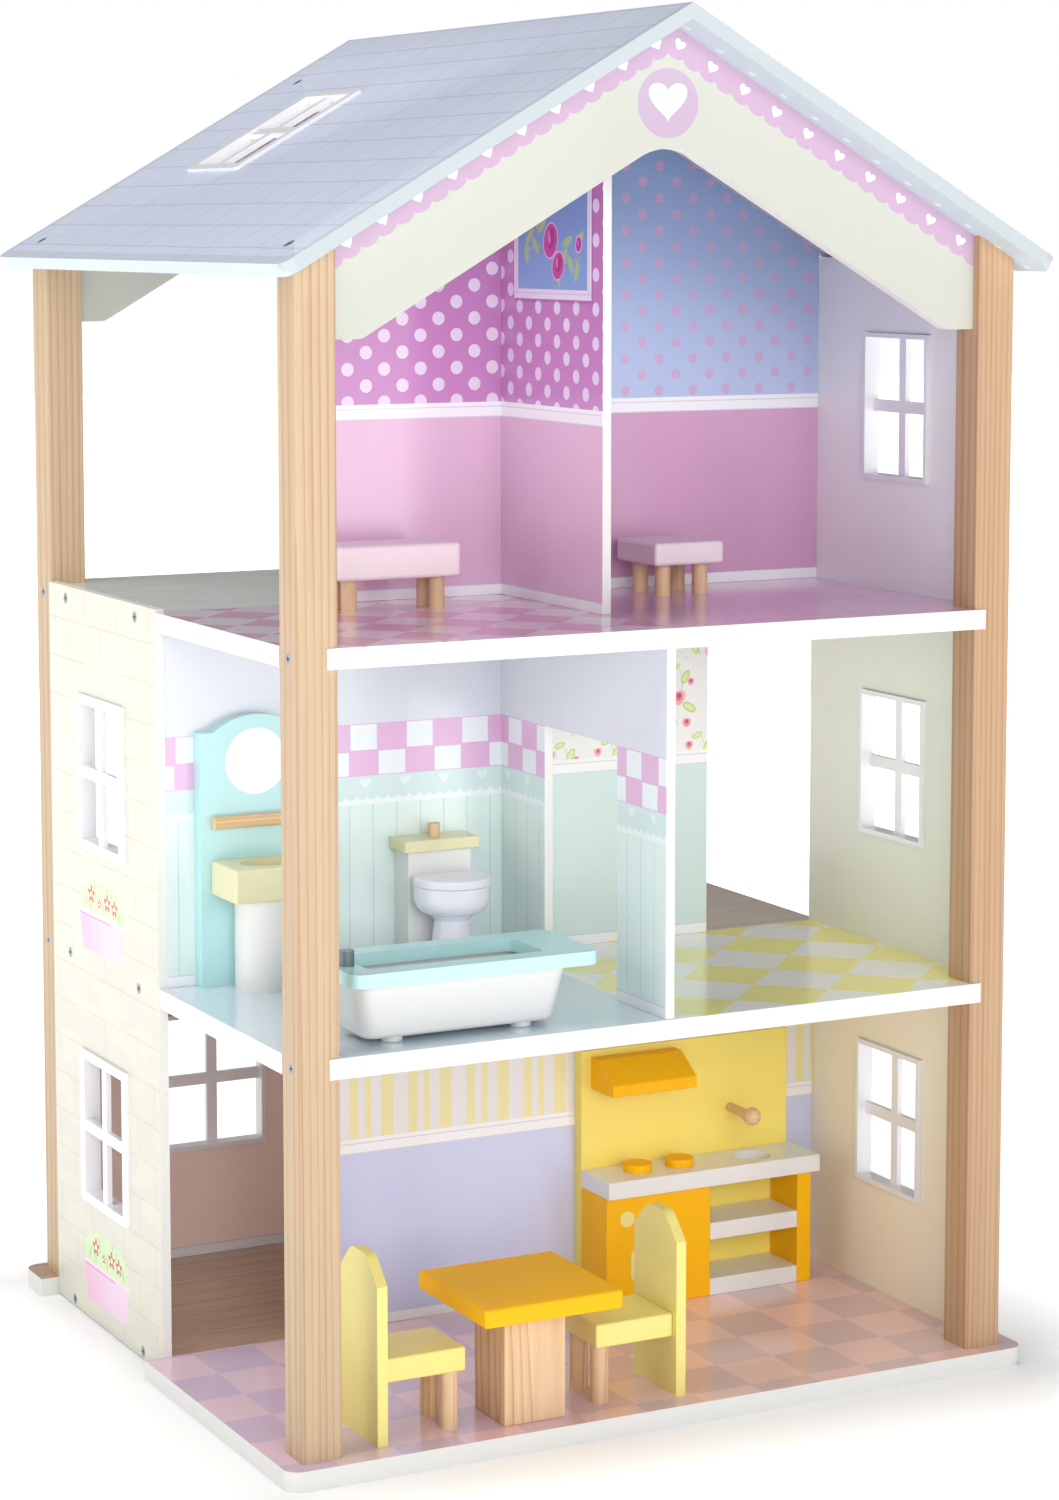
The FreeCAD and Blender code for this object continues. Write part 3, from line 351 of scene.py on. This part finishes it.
def first_floor_board():
    paint = Paint("printed_first_floor", 0.2, 0.5)
    yellow = diamonds(paint.x, paint.y, 66.3, 27.3, -55.0)
    kitchen = paint.mix(yellow, rgb(246, 246, 244), rgb(250, 240, 130))
    tile, half_face = 27.0, 13.1
    grout = (abs(paint.x.cell(tile)) > half_face) | (abs(paint.y.cell(tile, -8)) > half_face)
    bath = paint.mix(grout, rgb(216, 229, 238), rgb(230, 239, 245))
    bath = paint.mix(paint.noise((24, 24, 24), 2.0) * 0.5, bath, rgb(198, 217, 230))
    front = paint.mix(paint.x > DOORWAY_X, bath, kitchen)
    boards = planks(paint, rgb(222, 206, 188), rgb(188, 166, 148), rgb(158, 136, 118))
    top = paint.mix(paint.y > ROOM_Y, front, boards)
    colour = paint.mix(paint.nz > FACING, EDGE_WHITE, top)
    return paint.finish(colour, board_grain(paint), 0.02, 0.04)


def second_floor_board():
    paint = Paint("printed_second_floor", 0.2, 0.5)
    pink = diamonds(paint.x, paint.y, 49.6, -46.0, -87.0)
    tiles = paint.mix(pink, rgb(234, 218, 230), rgb(222, 158, 192))
    plain = paint.mix(paint.noise((40, 40, 40), 2.0), rgb(232, 191, 219), rgb(217, 172, 208))
    front = paint.mix(paint.x > DOORWAY_X, tiles, plain)
    boards = planks(paint, rgb(250, 248, 244), rgb(234, 229, 223), rgb(190, 182, 174))
    top = paint.mix(paint.y > ROOM_Y, front, boards)
    colour = paint.mix(paint.nz > FACING, EDGE_WHITE, top)
    return paint.finish(colour, board_grain(paint), 0.02, 0.04)


# ---------------------------------------------------------------- wallpapers
SKIRTING = 7.0         # height of the printed skirting board
RAIL_FOOT = 113.0      # height of the rail's lower edge
RAIL_MIDDLE = 118.0    # the paper changes behind the rail
PAPER_FADE = 200.0     # height over which the upper papers darken


def rail(paint, colour, up, foot, tall=9.5):
    """A white moulding with two thin shadow lines, from foot upwards."""
    colour = paint.mix(up.between(foot, foot + tall), colour, rgb(243, 242, 246))
    lines = up.between(foot, foot + 0.7) | up.between(foot + tall - 3.2, foot + tall - 2.5)
    return paint.mix(lines * 0.6, colour, rgb(196, 192, 212))


def skirted(paint, colour, up):
    colour = paint.mix(up < SKIRTING, colour, rgb(240, 240, 244))
    return paint.mix(up.between(SKIRTING - 0.5, SKIRTING + 0.3) * 0.5, colour, rgb(190, 186, 204))


def striped_paper(paint, u, up):
    """Yellow stripes over a white rail and plain lilac."""
    pitch = 41.2
    group = u.cell(pitch, -89.9) + pitch / 2
    stripes = group.between(0.0, 6.0) | group.between(10.6, 15.0) | group.between(22.0, 30.4)
    above = paint.mix(stripes, rgb(232, 229, 232), rgb(236, 227, 168))
    colour = paint.mix(up > RAIL_MIDDLE, rgb(204, 209, 240), above)
    return skirted(paint, rail(paint, colour, up, 112.8), up)


def bathroom_paper(paint, u, up):
    """White over a checked band, a lace edge with hearts, and mint boards."""
    trim_foot, band_foot, band_top = 104.0, 122.0, 155.2
    pair = u.cell(38.9, -80.0)
    upper = (abs(pair) > 10.4) & up.between(138.6, 154.6)
    lower = (abs(pair) < 9.2) & up.between(122.6, 137.4)
    band = paint.mix(upper | lower, rgb(224, 178, 216), rgb(234, 238, 243))
    boards = abs(u.cell(16.4, -109.5)) < 0.45
    colour = paint.mix(boards, rgb(220, 235, 232), rgb(197, 218, 216))
    lace = scallops(u, up - trim_foot - 3.0, 7.2, 3.2)
    trim = up.between(trim_foot, band_foot)
    colour = paint.mix(trim & (~lace), colour, rgb(232, 240, 240))
    colour = paint.mix(trim & lace, colour, rgb(208, 226, 226))
    hearts = heart(u.cell(27.2, -98.3), up - band_foot + 5.0, 3.8)
    colour = paint.mix(hearts * 0.7, colour, rgb(232, 241, 241))
    colour = paint.mix(up > band_foot, colour, band)
    colour = paint.mix(up > band_top, colour, rgb(218, 220, 230))
    return skirted(paint, colour, up)


def rose(paint, colour, u, v, size):
    """A small printed rose: pale outer petals, a deeper middle and a dark curl."""
    petals = (((-0.35, 0.1), 0.75, (244, 196, 204)), ((0.35, 0.15), 0.72, (240, 184, 194)),
              ((0.0, -0.35), 0.7, (238, 172, 184)), ((0.0, 0.1), 0.6, (226, 128, 148)),
              ((0.08, 0.18), 0.3, (202, 82, 108)))
    for centre, share, tone in petals:
        du, dv = u - centre[0] * size, v - centre[1] * size
        colour = paint.mix(disc(du, dv, size * share), colour, rgb(*tone))
    return colour


def floral_paper(paint, u, up, low=(211, 227, 224)):
    """Loose sprays of roses and leaves over a rail and plain mint."""
    colour = rgb(238, 236, 238)
    cu = (u + up.row(46.0).odd() * 17.0).cell(34.0, 8.0)
    cv = up.cell(46.0, 20.0)
    stem = (abs(cu - (cv * 0.16).join("SINE") * 3.0) < 0.35) & (abs(cv) < 19.0)
    colour = paint.mix(stem * 0.7, colour, rgb(186, 206, 150))
    leaves = (((-8, 5), (5.6, 2.9), 35), ((8, -7), (5.6, 2.9), 150), ((5, 13), (5.0, 2.6), 60),
              ((-5, -14), (4.6, 2.3), 120), ((-3, 20), (4.0, 2.0), 20))
    for centre, halves, lean in leaves:
        colour = paint.mix(ellipse(cu, cv, centre, halves, lean), colour, rgb(196, 216, 146))
        inner = (halves[0] * 0.7, halves[1] * 0.55)
        colour = paint.mix(ellipse(cu, cv, centre, inner, lean), colour, rgb(220, 232, 172))
    for centre, size in (((0, 0), 5.0), ((-9, 14), 3.0), ((9, 10), 2.6), ((6, -17), 3.4)):
        colour = rose(paint, colour, cu - centre[0], cv - centre[1], size)
    colour = paint.mix(up > RAIL_MIDDLE, rgb(*low), colour)
    return skirted(paint, rail(paint, colour, up, RAIL_FOOT), up)


def dotted_paper(paint, u, up, wall, dot, low, start_u, start_up, radius=4.2):
    """Staggered polka dots over a rail and a plain lower wall."""
    half_pitch, row = 12.5, 10.3
    even = disc(u.cell(half_pitch * 2, start_u), up.cell(row * 2, start_up), radius)
    odd = disc(u.cell(half_pitch * 2, start_u + half_pitch), up.cell(row * 2, start_up + row), radius)
    above = paint.mix(even | odd, wall, dot)
    colour = paint.mix(up > RAIL_MIDDLE, low, above)
    return skirted(paint, rail(paint, colour, up, RAIL_FOOT), up)


def wall_material(name, faces):
    """Each entry of faces is (mask, colour) from a function of the paint; edges stay white."""
    paint = Paint(name, 0.24, 0.35)
    colour = EDGE_WHITE
    for face in faces:
        mask, print_colour = face(paint)
        colour = paint.mix(mask, colour, print_colour)
    return paint.finish(colour, board_grain(paint), 0.025, 0.04)


def ground_cross_wall():
    def front(paint):
        return paint.ny < -FACING, striped_paper(paint, paint.x, paint.z - BASE)

    def back(paint):
        return paint.ny > FACING, skirted(paint, rgb(244, 218, 212), paint.z - BASE)

    return wall_material("paper_ground_cross", (front, back))


def first_cross_wall():
    def front(paint):
        up = paint.z - FIRST
        bathroom = bathroom_paper(paint, paint.x, up)
        both = paint.mix(paint.x > 0.0, bathroom, floral_paper(paint, paint.x, up, (208, 226, 228)))
        return paint.ny < -FACING, both

    def back(paint):
        return paint.ny > FACING, floral_paper(paint, paint.x, paint.z - FIRST)

    return wall_material("paper_first_cross", (front, back))


def blue_paper(paint, u, up):
    sky = paint.mix(((up - RAIL_MIDDLE) / PAPER_FADE).clamped(), rgb(184, 198, 230), rgb(138, 166, 210))
    return dotted_paper(paint, u, up, sky, rgb(200, 172, 208), rgb(208, 160, 194), 11.4, 3.3, radius=3.4)


def magenta_paper(paint, u, up, start_u, start_up):
    wall = paint.mix(((up - RAIL_MIDDLE) / PAPER_FADE).clamped(), rgb(196, 131, 191), rgb(178, 105, 167))
    return dotted_paper(paint, u, up, wall, rgb(228, 212, 234), rgb(222, 183, 211), start_u, start_up)


def second_cross_wall():
    def front(paint):
        up = paint.z - SECOND
        left = magenta_paper(paint, paint.x, up, -34.2, 165.0)
        return paint.ny < -FACING, paint.mix(paint.x > 0.0, left, blue_paper(paint, paint.x, up))

    def back(paint):
        return paint.ny > FACING, floral_paper(paint, paint.x, paint.z - SECOND)

    return wall_material("paper_second_cross", (front, back))


def first_partition():
    def left(paint):
        return paint.nx < -FACING, bathroom_paper(paint, -paint.y - 80.0, paint.z - FIRST)

    def right(paint):
        return paint.nx > FACING, floral_paper(paint, -paint.y, paint.z - FIRST)

    return wall_material("paper_first_partition", (left, right))


def framed_roses(paint, colour, u, v):
    """A printed picture: white frame, blue ground, two roses, a bud, stems and leaves."""
    half_wide, half_tall = 51.0, 40.0
    step_in, panel_in = 3.5, 5.5
    inside = (abs(u) < half_wide) & (abs(v) < half_tall)
    shadow = (abs(u - 1.5) < half_wide) & (abs(v + 2.0) < half_tall)
    colour = paint.mix(shadow * 0.35, colour, rgb(120, 60, 110))
    colour = paint.mix(inside, colour, rgb(232, 222, 238))
    step = (abs(abs(u) - half_wide + step_in) < 0.5) | (abs(abs(v) - half_tall + step_in) < 0.5)
    colour = paint.mix((step & inside) * 0.6, colour, rgb(206, 194, 218))
    panel_tall = half_tall - panel_in - 0.5
    panel = (abs(u) < half_wide - panel_in) & (abs(v) < panel_tall)
    sky = paint.mix(((v + panel_tall) / (panel_tall * 2)).clamped(), rgb(126, 164, 214), rgb(112, 142, 200))
    colour = paint.mix(panel, colour, sky)
    v = v + 9.5    # the spray hangs below the middle
    stem = abs(v + u * 0.12 + (u * 0.11).join("SINE") * 3.2 + 3.0) < 0.7
    stem = stem & (abs(u) < 38.0)
    colour = paint.mix(stem, colour, rgb(150, 178, 120))
    leaf_green = rgb(164, 190, 134)
    leaves = (((-30, 8), 40), ((-22, 2), 130), ((-34, -2), 95), ((-14, 14), 30), ((-20, 16), 120),
              ((16, -4), 60), ((24, -9), 120), ((20, 5), 20), ((32, -13), 75), ((36, 6), 50),
              ((8, -16), 100))
    for centre, lean in leaves:
        colour = paint.mix(ellipse(u, v, centre, (6.5, 2.6), lean), colour, leaf_green)
    roses = (((-2.2, 5.2), (10.5, 8.5), 70), ((7.8, -10.0), (8.5, 7.0), 60), ((34.4, 3.2), (4.6, 3.4), 80))
    for centre, halves, lean in roses:
        rim = (halves[0] + 1.0, halves[1] + 1.0)
        colour = paint.mix(ellipse(u, v, centre, rim, lean), colour, rgb(226, 176, 220))
        colour = paint.mix(ellipse(u, v, centre, halves, lean), colour, rgb(190, 66, 150))
        heart_of = (centre[0] + halves[1] * 0.1, centre[1] + halves[1] * 0.15)
        colour = paint.mix(ellipse(u, v, heart_of, (halves[0] * 0.62, halves[1] * 0.5), lean), colour,
                           rgb(168, 44, 126))
        petal = (centre[0] - halves[1] * 0.2, centre[1] + halves[1] * 0.25)
        colour = paint.mix(ellipse(u, v, petal, (halves[0] * 0.4, halves[1] * 0.22), lean + 30), colour,
                           rgb(214, 112, 180))
    return colour


def second_partition():
    def left(paint):
        colour = magenta_paper(paint, -paint.y, paint.z - SECOND, 76.0, 183.0)
        picture = framed_roses(paint, colour, -paint.y - 69.5, paint.z - 704.0)
        return paint.nx < -FACING, picture

    def right(paint):
        return paint.nx > FACING, blue_paper(paint, paint.y, paint.z - SECOND)

    return wall_material("paper_second_partition", (left, right))


# The back wall and back partition get a lighter copy of the back room's dusty-pink paper, which is (244,
# 218, 212) on the cross wall's back and the left panel's inside. This is painted light where the back room
# gets less light.
def ground_back_walls():
    def all_faces(paint):
        upright = abs(paint.nz) < 0.5
        flat = (abs(paint.nx) > FACING) | (abs(paint.ny) > FACING)
        return upright & flat, skirted(paint, rgb(252, 230, 222), paint.z - BASE)

    return wall_material("paper_ground_back_painted_light", (all_faces,))


# ---------------------------------------------------------------- outside prints
PLANTER_FOOT = 14.0    # height of the lower planter's foot


def planter(paint, colour, u, v):
    """A window box with a mound of leaves and red flowers. v is up from its foot."""
    trough_tall, rim_tall = 23.0, 3.0
    half = v * 0.23 + 35.0
    mound = scallops(u, -v + 48.0, 19.0, 6.0, 4.0) & (abs(u) < 38.0) & (v > 20.0)
    slope = (abs(u) * 0.45 + v) < 56.0
    leaf_tone = paint.mix(paint.noise((5, 5, 5), 2.0), rgb(196, 228, 172), rgb(216, 234, 190))
    colour = paint.mix(mound & slope, colour, leaf_tone)
    leaves = (((-29, 32), 60), ((-12, 40), 95), ((2, 33), 80), ((18, 38), 100), ((30, 31), 120),
              ((-20, 30), 110), ((10, 42), 70))
    for centre, lean in leaves:
        colour = paint.mix(ellipse(u, v, centre, (5.5, 1.8), lean) * 0.7, colour, rgb(170, 212, 150))
    for centre, size in (((-19, 37.3), 6.4), ((-4.5, 33.2), 3.6), ((9.5, 35.8), 6.2), ((22.5, 34.4), 5.8)):
        du, dv = u - centre[0], v - centre[1]
        colour = paint.mix(flower(du, dv, size * 1.22), colour, rgb(236, 226, 190))
        colour = paint.mix(flower(du, dv, size), colour, rgb(196, 84, 84))
        colour = paint.mix(disc(du, dv, size * 0.3), colour, rgb(250, 246, 240))
    trough = (abs(u).join("SUBTRACT", half) < 0.0) & v.between(0.0, trough_tall + 0.5)
    tone = paint.mix(((u + 30.0) / 40.0).clamped(), rgb(234, 184, 216), rgb(236, 206, 230))
    colour = paint.mix(trough, colour, tone)
    rim = (abs(u) < 41.5) & v.between(trough_tall, trough_tall + rim_tall)
    colour = paint.mix(rim, colour, rgb(240, 214, 232))
    shade = (abs(u + 12.0) < 28.0) & v.between(trough_tall - 0.8, trough_tall + 0.4)
    return paint.mix(shade * 0.7, colour, rgb(196, 130, 186))


def bricks(paint, colour, u, v, wide, tall, start, line, thick, strength):
    """Thin joint lines with every second course shifted by half a brick."""
    shift = v.row(tall, start).odd() * (wide / 2)
    courses = abs(v.cell(tall, start)) < thick / 2
    joints = abs((u + shift).cell(wide, 9.0)) < thick / 2
    wobble = paint.noise((40, 40, 40), 1.0) * 0.6 + 0.5
    return paint.mix((courses | joints) * wobble * strength, colour, line)


def side_panel(name, planter_at, inside_tones):
    """Brick print outside with a planter under the lower windows, plain tones inside."""
    paint = Paint(name, 0.34, 0.1)
    low, high = span(name)
    u, v = paint.y, paint.z
    cream = paint.mix(paint.noise((60, 60, 60), 2.0), rgb(216, 214, 203), rgb(212, 210, 195))
    outside = bricks(paint, cream, u, v, 57.0, 25.1, 4.3, rgb(198, 194, 158), 0.9, 0.9)
    tinted = paint.noise((50, 50, 14), 0.0, 0.5, 4.0) > 0.55
    outside = paint.mix(tinted * 0.16, outside, rgb(232, 232, 200))
    for foot in (PLANTER_FOOT, PLANTER_FOOT + FIRST - BASE):
        outside = planter(paint, outside, (u - planter_at) * (-1.0), v - foot)
    inside = inside_tones[0]
    for level, tone in zip((FIRST - BOARD_THICK, SECOND - BOARD_THICK), inside_tones[1:]):
        inside = paint.mix(v > level, inside, tone)
    outward = paint.nx * (-1.0 if low.x < 0 else 1.0)
    colour = paint.mix(outward > FACING, rgb(232, 232, 228), outside)
    colour = paint.mix(outward < -FACING, colour, inside)
    return paint.finish(colour, board_grain(paint), 0.03, 0.05)


def roof_board(name, side):
    """Slate-blue tiles on top, mint edges, and hearts on a pale underside."""
    paint = Paint(name, 0.55, 0.0)
    down = paint.x * (side * math.cos(SLOPE)) + (-paint.z + RIDGE) * math.sin(SLOPE)
    sag = (paint.noise((70, 70, 70), 1.0) - 0.5) * 3.0
    base = paint.mix(paint.noise((80, 80, 80), 2.0), rgb(212, 218, 234), rgb(204, 211, 230))
    tiles = bricks(paint, base, paint.y + sag, down + sag, 35.0, 25.0, 1.5, rgb(180, 188, 214), 1.4, 0.95)
    underside = paint.mix(paint.noise((50, 50, 50)), rgb(200, 212, 218), rgb(192, 205, 213))
    row = disc(down.cell(25.0, 13.2), paint.y.cell(24.0), 2.6)
    underside = paint.mix(row * 0.8, underside, rgb(228, 235, 238))
    mint = rgb(182, 191, 195)
    verge, eave = 229.0, 285.0
    edge_line = (abs(paint.y) > verge) | (down > eave)
    tiles = paint.mix(edge_line * 0.5, tiles, mint)
    colour = paint.mix(paint.nz > 0.5, mint, tiles)
    colour = paint.mix(paint.nz < -0.5, colour, underside)
    return paint.finish(colour, board_grain(paint), 0.03, 0.05)


def gable_board():
    """Cream with a scalloped pink border, hearts and a medallion."""
    paint = Paint("printed_gable", 0.36, 0.1)
    under = RIDGE - ROOF_THICK / math.cos(SLOPE)
    drop = -paint.z + under
    along = abs(paint.x) * math.cos(SLOPE) + drop * math.sin(SLOPE)
    away = drop * math.cos(SLOPE) - abs(paint.x) * math.sin(SLOPE)
    pink = rgb(188, 158, 184)
    colour = paint.mix(paint.noise((70, 70, 70)), rgb(193, 194, 185), rgb(190, 191, 181))
    border = scallops(along, -away + 16.5, 12.5, 3.6, 13.2)
    colour = paint.mix(border, colour, pink)
    tips = heart(along.cell(25.0, 13.2), -away + 8.2, 3.7)
    colour = paint.mix(tips, colour, rgb(238, 234, 240))
    medallion_z = 779.0
    du, dv = paint.x, paint.z - medallion_z
    colour = paint.mix(disc(du, dv, 20.0), colour, rgb(186, 163, 186))
    colour = paint.mix(heart(du, dv, 12.6), colour, rgb(236, 234, 240))
    colour = paint.mix(abs(paint.ny) > FACING, rgb(236, 235, 228), colour)
    return paint.finish(colour, board_grain(paint), 0.03, 0.05)


# ---------------------------------------------------------------- dressing the CAD nodes
def dress(node, material, bevel=0.0):
    """A CAD node keeps its shape, gets a finish, and its sharp edges are eased."""
    part = nodes[node]
    part.data.materials.clear()
    part.data.materials.append(material)
    if bevel:
        weld = part.modifiers.new("weld", "WELD")
        weld.merge_threshold = 0.00002
        flat = part.modifiers.new("flat", "DECIMATE")
        flat.decimate_type = "DISSOLVE"
        flat.angle_limit = math.radians(1)
        ease = part.modifiers.new("ease", "BEVEL")
        ease.width = bevel * MM
        ease.segments = 2
        ease.limit_method = "ANGLE"
        ease.angle_limit = math.radians(35)
        ease.harden_normals = True


PINE_LIGHT = rgb(200, 176, 144)
PINE_DARK = rgb(172, 129, 94)
pine_left = wood("pine_left", PINE_LIGHT, PINE_DARK, "z", 4.6)
pine_right = wood("pine_right", rgb(192, 158, 124), rgb(162, 117, 82), "z", 4.0)
beech = wood("bare_beech", rgb(230, 198, 160), rgb(184, 138, 94), "z", 12.0, wander=6.0)
beech_flat = wood("bare_beech_flat", rgb(230, 196, 152), rgb(190, 144, 98), "x", 2.4)

orange = painted("orange_paint", rgb(253, 188, 0), 0.5, coat=0.0, specular=0.25)
yellow = painted("yellow_paint", rgb(248, 226, 112), 0.42, coat=0.05)
pale_yellow = painted("pale_yellow_paint", rgb(240, 226, 134))
cream = painted("cream_paint", rgb(228, 222, 180))
# The bath tub gets a darker copy of the white paint: painted shade on the tub, not a different paint.
tub_shaded_white_paint = painted("tub_paint_shaded", rgb(212, 213, 212), shade=0.985)
white_paint = painted("white_paint", rgb(230, 230, 228), shade=0.985)
sky_blue = painted("blue_paint", rgb(188, 230, 232))
pink = painted("pink_paint", rgb(240, 222, 228))
plastic = moulded("window_plastic", rgb(244, 244, 248))
china = moulded("toilet_plastic", rgb(240, 240, 250), 0.16)
dark_tap = painted("tap_grey", rgb(104, 116, 124), 0.3)
steel = metal("screw_steel", rgb(178, 180, 184))
# The mirror disc is a painted reflection: rough white plastic whose white stands in for the white studio
# that the mirror reflects.
mirror_painted_white_reflection = moulded("mirror_foil", rgb(250, 250, 252), 0.3)

EASE = 0.5             # how far the sharp edges of boards are eased
WALL_EASE = 0.4
dress("base_plate", base_board(), EASE)
dress("first_floor", first_floor_board(), EASE)
dress("second_floor", second_floor_board(), EASE)
for post in ("post_front_left", "post_back_left"):
    dress(post, pine_left)
for post in ("post_front_right", "post_back_right"):
    dress(post, pine_right)
left_tones = (rgb(244, 218, 212), rgb(240, 242, 244))
right_tones = (rgb(250, 242, 221), rgb(238, 239, 228), rgb(252, 251, 251))
dress("side_panel_left", side_panel("side_panel_left", 98.0, left_tones), WALL_EASE)
dress("side_panel_right", side_panel("side_panel_right", -98.0, right_tones), WALL_EASE)
dress("ground_cross_wall", ground_cross_wall(), WALL_EASE)
dress("first_cross_wall", first_cross_wall(), WALL_EASE)
dress("second_cross_wall", second_cross_wall(), WALL_EASE)
dress("first_partition", first_partition(), WALL_EASE)
dress("second_partition", second_partition(), WALL_EASE)
# Back room paper, lightened as painted light.
back_paper_painted_light = ground_back_walls()
dress("ground_back_partition", back_paper_painted_light, WALL_EASE)
dress("ground_back_wall", back_paper_painted_light, WALL_EASE)
dress("roof_left", roof_board("roof_left", -1.0), EASE)
dress("roof_right", roof_board("roof_right", 1.0), EASE)
gable = gable_board()
dress("gable_front", gable, EASE)
dress("gable_back", gable, EASE)
FINISHES = {
    "window_plastic": plastic, "screw_steel": steel, "yellow_paint": yellow, "orange_paint": orange,
    "white_paint": white_paint, "bare_wood": beech, "pale_yellow_paint": pale_yellow,
    "blue_paint": sky_blue, "mirror_foil": mirror_painted_white_reflection, "toilet_plastic": china, "tap_grey": dark_tap,
    "pink_paint": pink,
}
for row in frame["record"]["subparts"]:
    if row["material_slot"] in FINISHES:
        dress(row["node"], FINISHES[row["material_slot"]])
for lying in ("kitchen_tap", "vanity_bar"):
    dress(lying, beech_flat)
for creamy in ("vanity_basin", "toilet_cap"):
    dress(creamy, cream)
# The tub wears the darker copy of the white paint, which is painted shade.
dress("bath_tub", tub_shaded_white_paint)


# ---------------------------------------------------------------- pieces added to the furniture
PRINT_THICK = 0.5
PRINT_EASE = 0.15


def outline_piece(name, outline, thickness, towards, material, body):
    """A thin flat piece on a front: its outline in X and Z, its face out towards -Y."""
    mesh = bpy.data.meshes.new(name)
    shape = bmesh.new()
    face = shape.faces.new([shape.verts.new((x * MM, towards * MM, z * MM)) for x, z in outline])
    pushed = bmesh.ops.extrude_face_region(shape, geom=[face])
    moved = [item for item in pushed["geom"] if isinstance(item, bmesh.types.BMVert)]
    bmesh.ops.translate(shape, verts=moved, vec=(0.0, -thickness * MM, 0.0))
    bmesh.ops.recalc_face_normals(shape, faces=shape.faces)
    shape.to_mesh(mesh)
    shape.free()
    piece = bpy.data.objects.new(name, mesh)
    bpy.context.scene.collection.objects.link(piece)
    mesh.materials.append(material)
    ease = piece.modifiers.new("ease", "BEVEL")
    ease.width = PRINT_EASE * MM
    ease.segments = 2
    ease.limit_method = "ANGLE"
    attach(piece, body)
    return piece


def ring_points(centre, radius, count=48):
    steps = [2 * math.pi * step / count for step in range(count)]
    return [(centre[0] + radius * math.cos(a), centre[1] + radius * math.sin(a)) for a in steps]


def rounded_rectangle(low, high, radius, steps=8):
    points = []
    corners = ((high[0] - radius, high[1] - radius), (low[0] + radius, high[1] - radius),
               (low[0] + radius, low[1] + radius), (high[0] - radius, low[1] + radius))
    for quarter, (cx, cz) in enumerate(corners):
        for step in range(steps + 1):
            angle = (quarter + step / steps) * math.pi / 2
            points.append((cx + radius * math.cos(angle), cz + radius * math.sin(angle)))
    return points


cabinet_front = span("kitchen_cabinet")[0]
KNOB_RADIUS = 5.3
knob_at = (cabinet_front.x + 15.0, BASE + 59.5)
knob_outline = ring_points(knob_at, KNOB_RADIUS)
oven_outline = rounded_rectangle((knob_at[0] + 2.5, BASE + 18.0), (knob_at[0] + 37.5, BASE + 38.6), 4.0)
for piece_name, outline in (("kitchen_knob", knob_outline), ("oven_window", oven_outline)):
    outline_piece(piece_name, outline, PRINT_THICK, cabinet_front.y, pale_yellow, "kitchen")


# ---------------------------------------------------------------- studio
def studio_floor():
    mesh = bpy.data.meshes.new("studio_floor")
    far = 12.0
    mesh.from_pydata([(-far, -far, 0), (far, -far, 0), (far, far, 0), (-far, far, 0)], [], [(0, 1, 2, 3)])
    floor = bpy.data.objects.new("studio_floor", mesh)
    bpy.context.scene.collection.objects.link(floor)
    paint = Paint("studio_floor", 0.6)
    tone = paint.mix(paint.noise((900, 900, 900)), rgb(250, 250, 250), rgb(248, 248, 248))
    paint.shader.inputs["Emission Color"].default_value = (1.0, 1.0, 1.0, 1.0)
    beside = (abs(paint.x) - 250.0).join("MAXIMUM", abs(paint.y) - 225.0)
    near = (beside / 110.0).clamped() * 0.5
    far_off = ((beside - 300.0) / 1500.0).clamped() * 0.6
    lift = near + far_off + 0.06
    paint.tree.links.new(lift.socket, paint.shader.inputs["Emission Strength"])
    mesh.materials.append(paint.finish(tone))


def softbox(name, at, aim, width, height, power, mirrored=True):
    light = bpy.data.lights.new(name, "AREA")
    light.shape = "RECTANGLE"
    light.size = width
    light.size_y = height
    light.energy = power
    lamp = bpy.data.objects.new(name, light)
    lamp.location = at
    lamp.rotation_euler = (Vector(aim) - Vector(at)).to_track_quat("-Z", "Y").to_euler()
    lamp.visible_camera = False
    lamp.visible_glossy = mirrored
    bpy.context.scene.collection.objects.link(lamp)


def studio_air():
    """White all round: full white to the camera, a little less as light on the house."""
    world = bpy.data.worlds.new("studio")
    world.use_nodes = True
    tree = world.node_tree
    seen = tree.nodes.new("ShaderNodeLightPath")
    strength = tree.nodes.new("ShaderNodeMapRange")
    strength.inputs["To Min"].default_value = 0.24
    strength.inputs["To Max"].default_value = 1.0
    tree.links.new(seen.outputs["Is Camera Ray"], strength.inputs["Value"])
    background = tree.nodes["Background"]
    background.inputs["Color"].default_value = (1.0, 1.0, 1.0, 1.0)
    tree.links.new(strength.outputs[0], background.inputs["Strength"])
    bpy.context.scene.world = world


def camera():
    """Where the pictured view was taken from, as directions from the house."""
    yaw, pitch = math.radians(27.23), math.radians(6.07)
    lens = bpy.data.cameras.new("camera")
    lens.lens = 84.7
    lens.sensor_width = 36.0
    lens.shift_y = -0.1006
    eye = bpy.data.objects.new("camera", lens)
    eye.location = (-1.00747, -1.99126, 0.70999)
    eye.rotation_euler = (math.pi / 2 - pitch, 0.0, -yaw)
    bpy.context.scene.collection.objects.link(eye)
    bpy.context.scene.camera = eye


studio_floor()
middle = (0.0, 0.0, 0.4)
softbox("front", (-0.7, -3.3, 1.25), middle, 2.4, 1.5, 57)
softbox("front_right", (0.87, -2.4, 0.7), middle, 0.45, 1.4, 6)
softbox("back", (0.5, 3.2, 1.0), middle, 2.2, 1.4, 56, mirrored=False)
softbox("left", (-3.3, 0.5, 1.1), middle, 2.4, 1.8, 25)
softbox("top_left", (-1.6, -0.2, 3.2), middle, 2.0, 2.4, 42)
studio_air()
bpy.context.scene.view_settings.view_transform = "Standard"
camera()
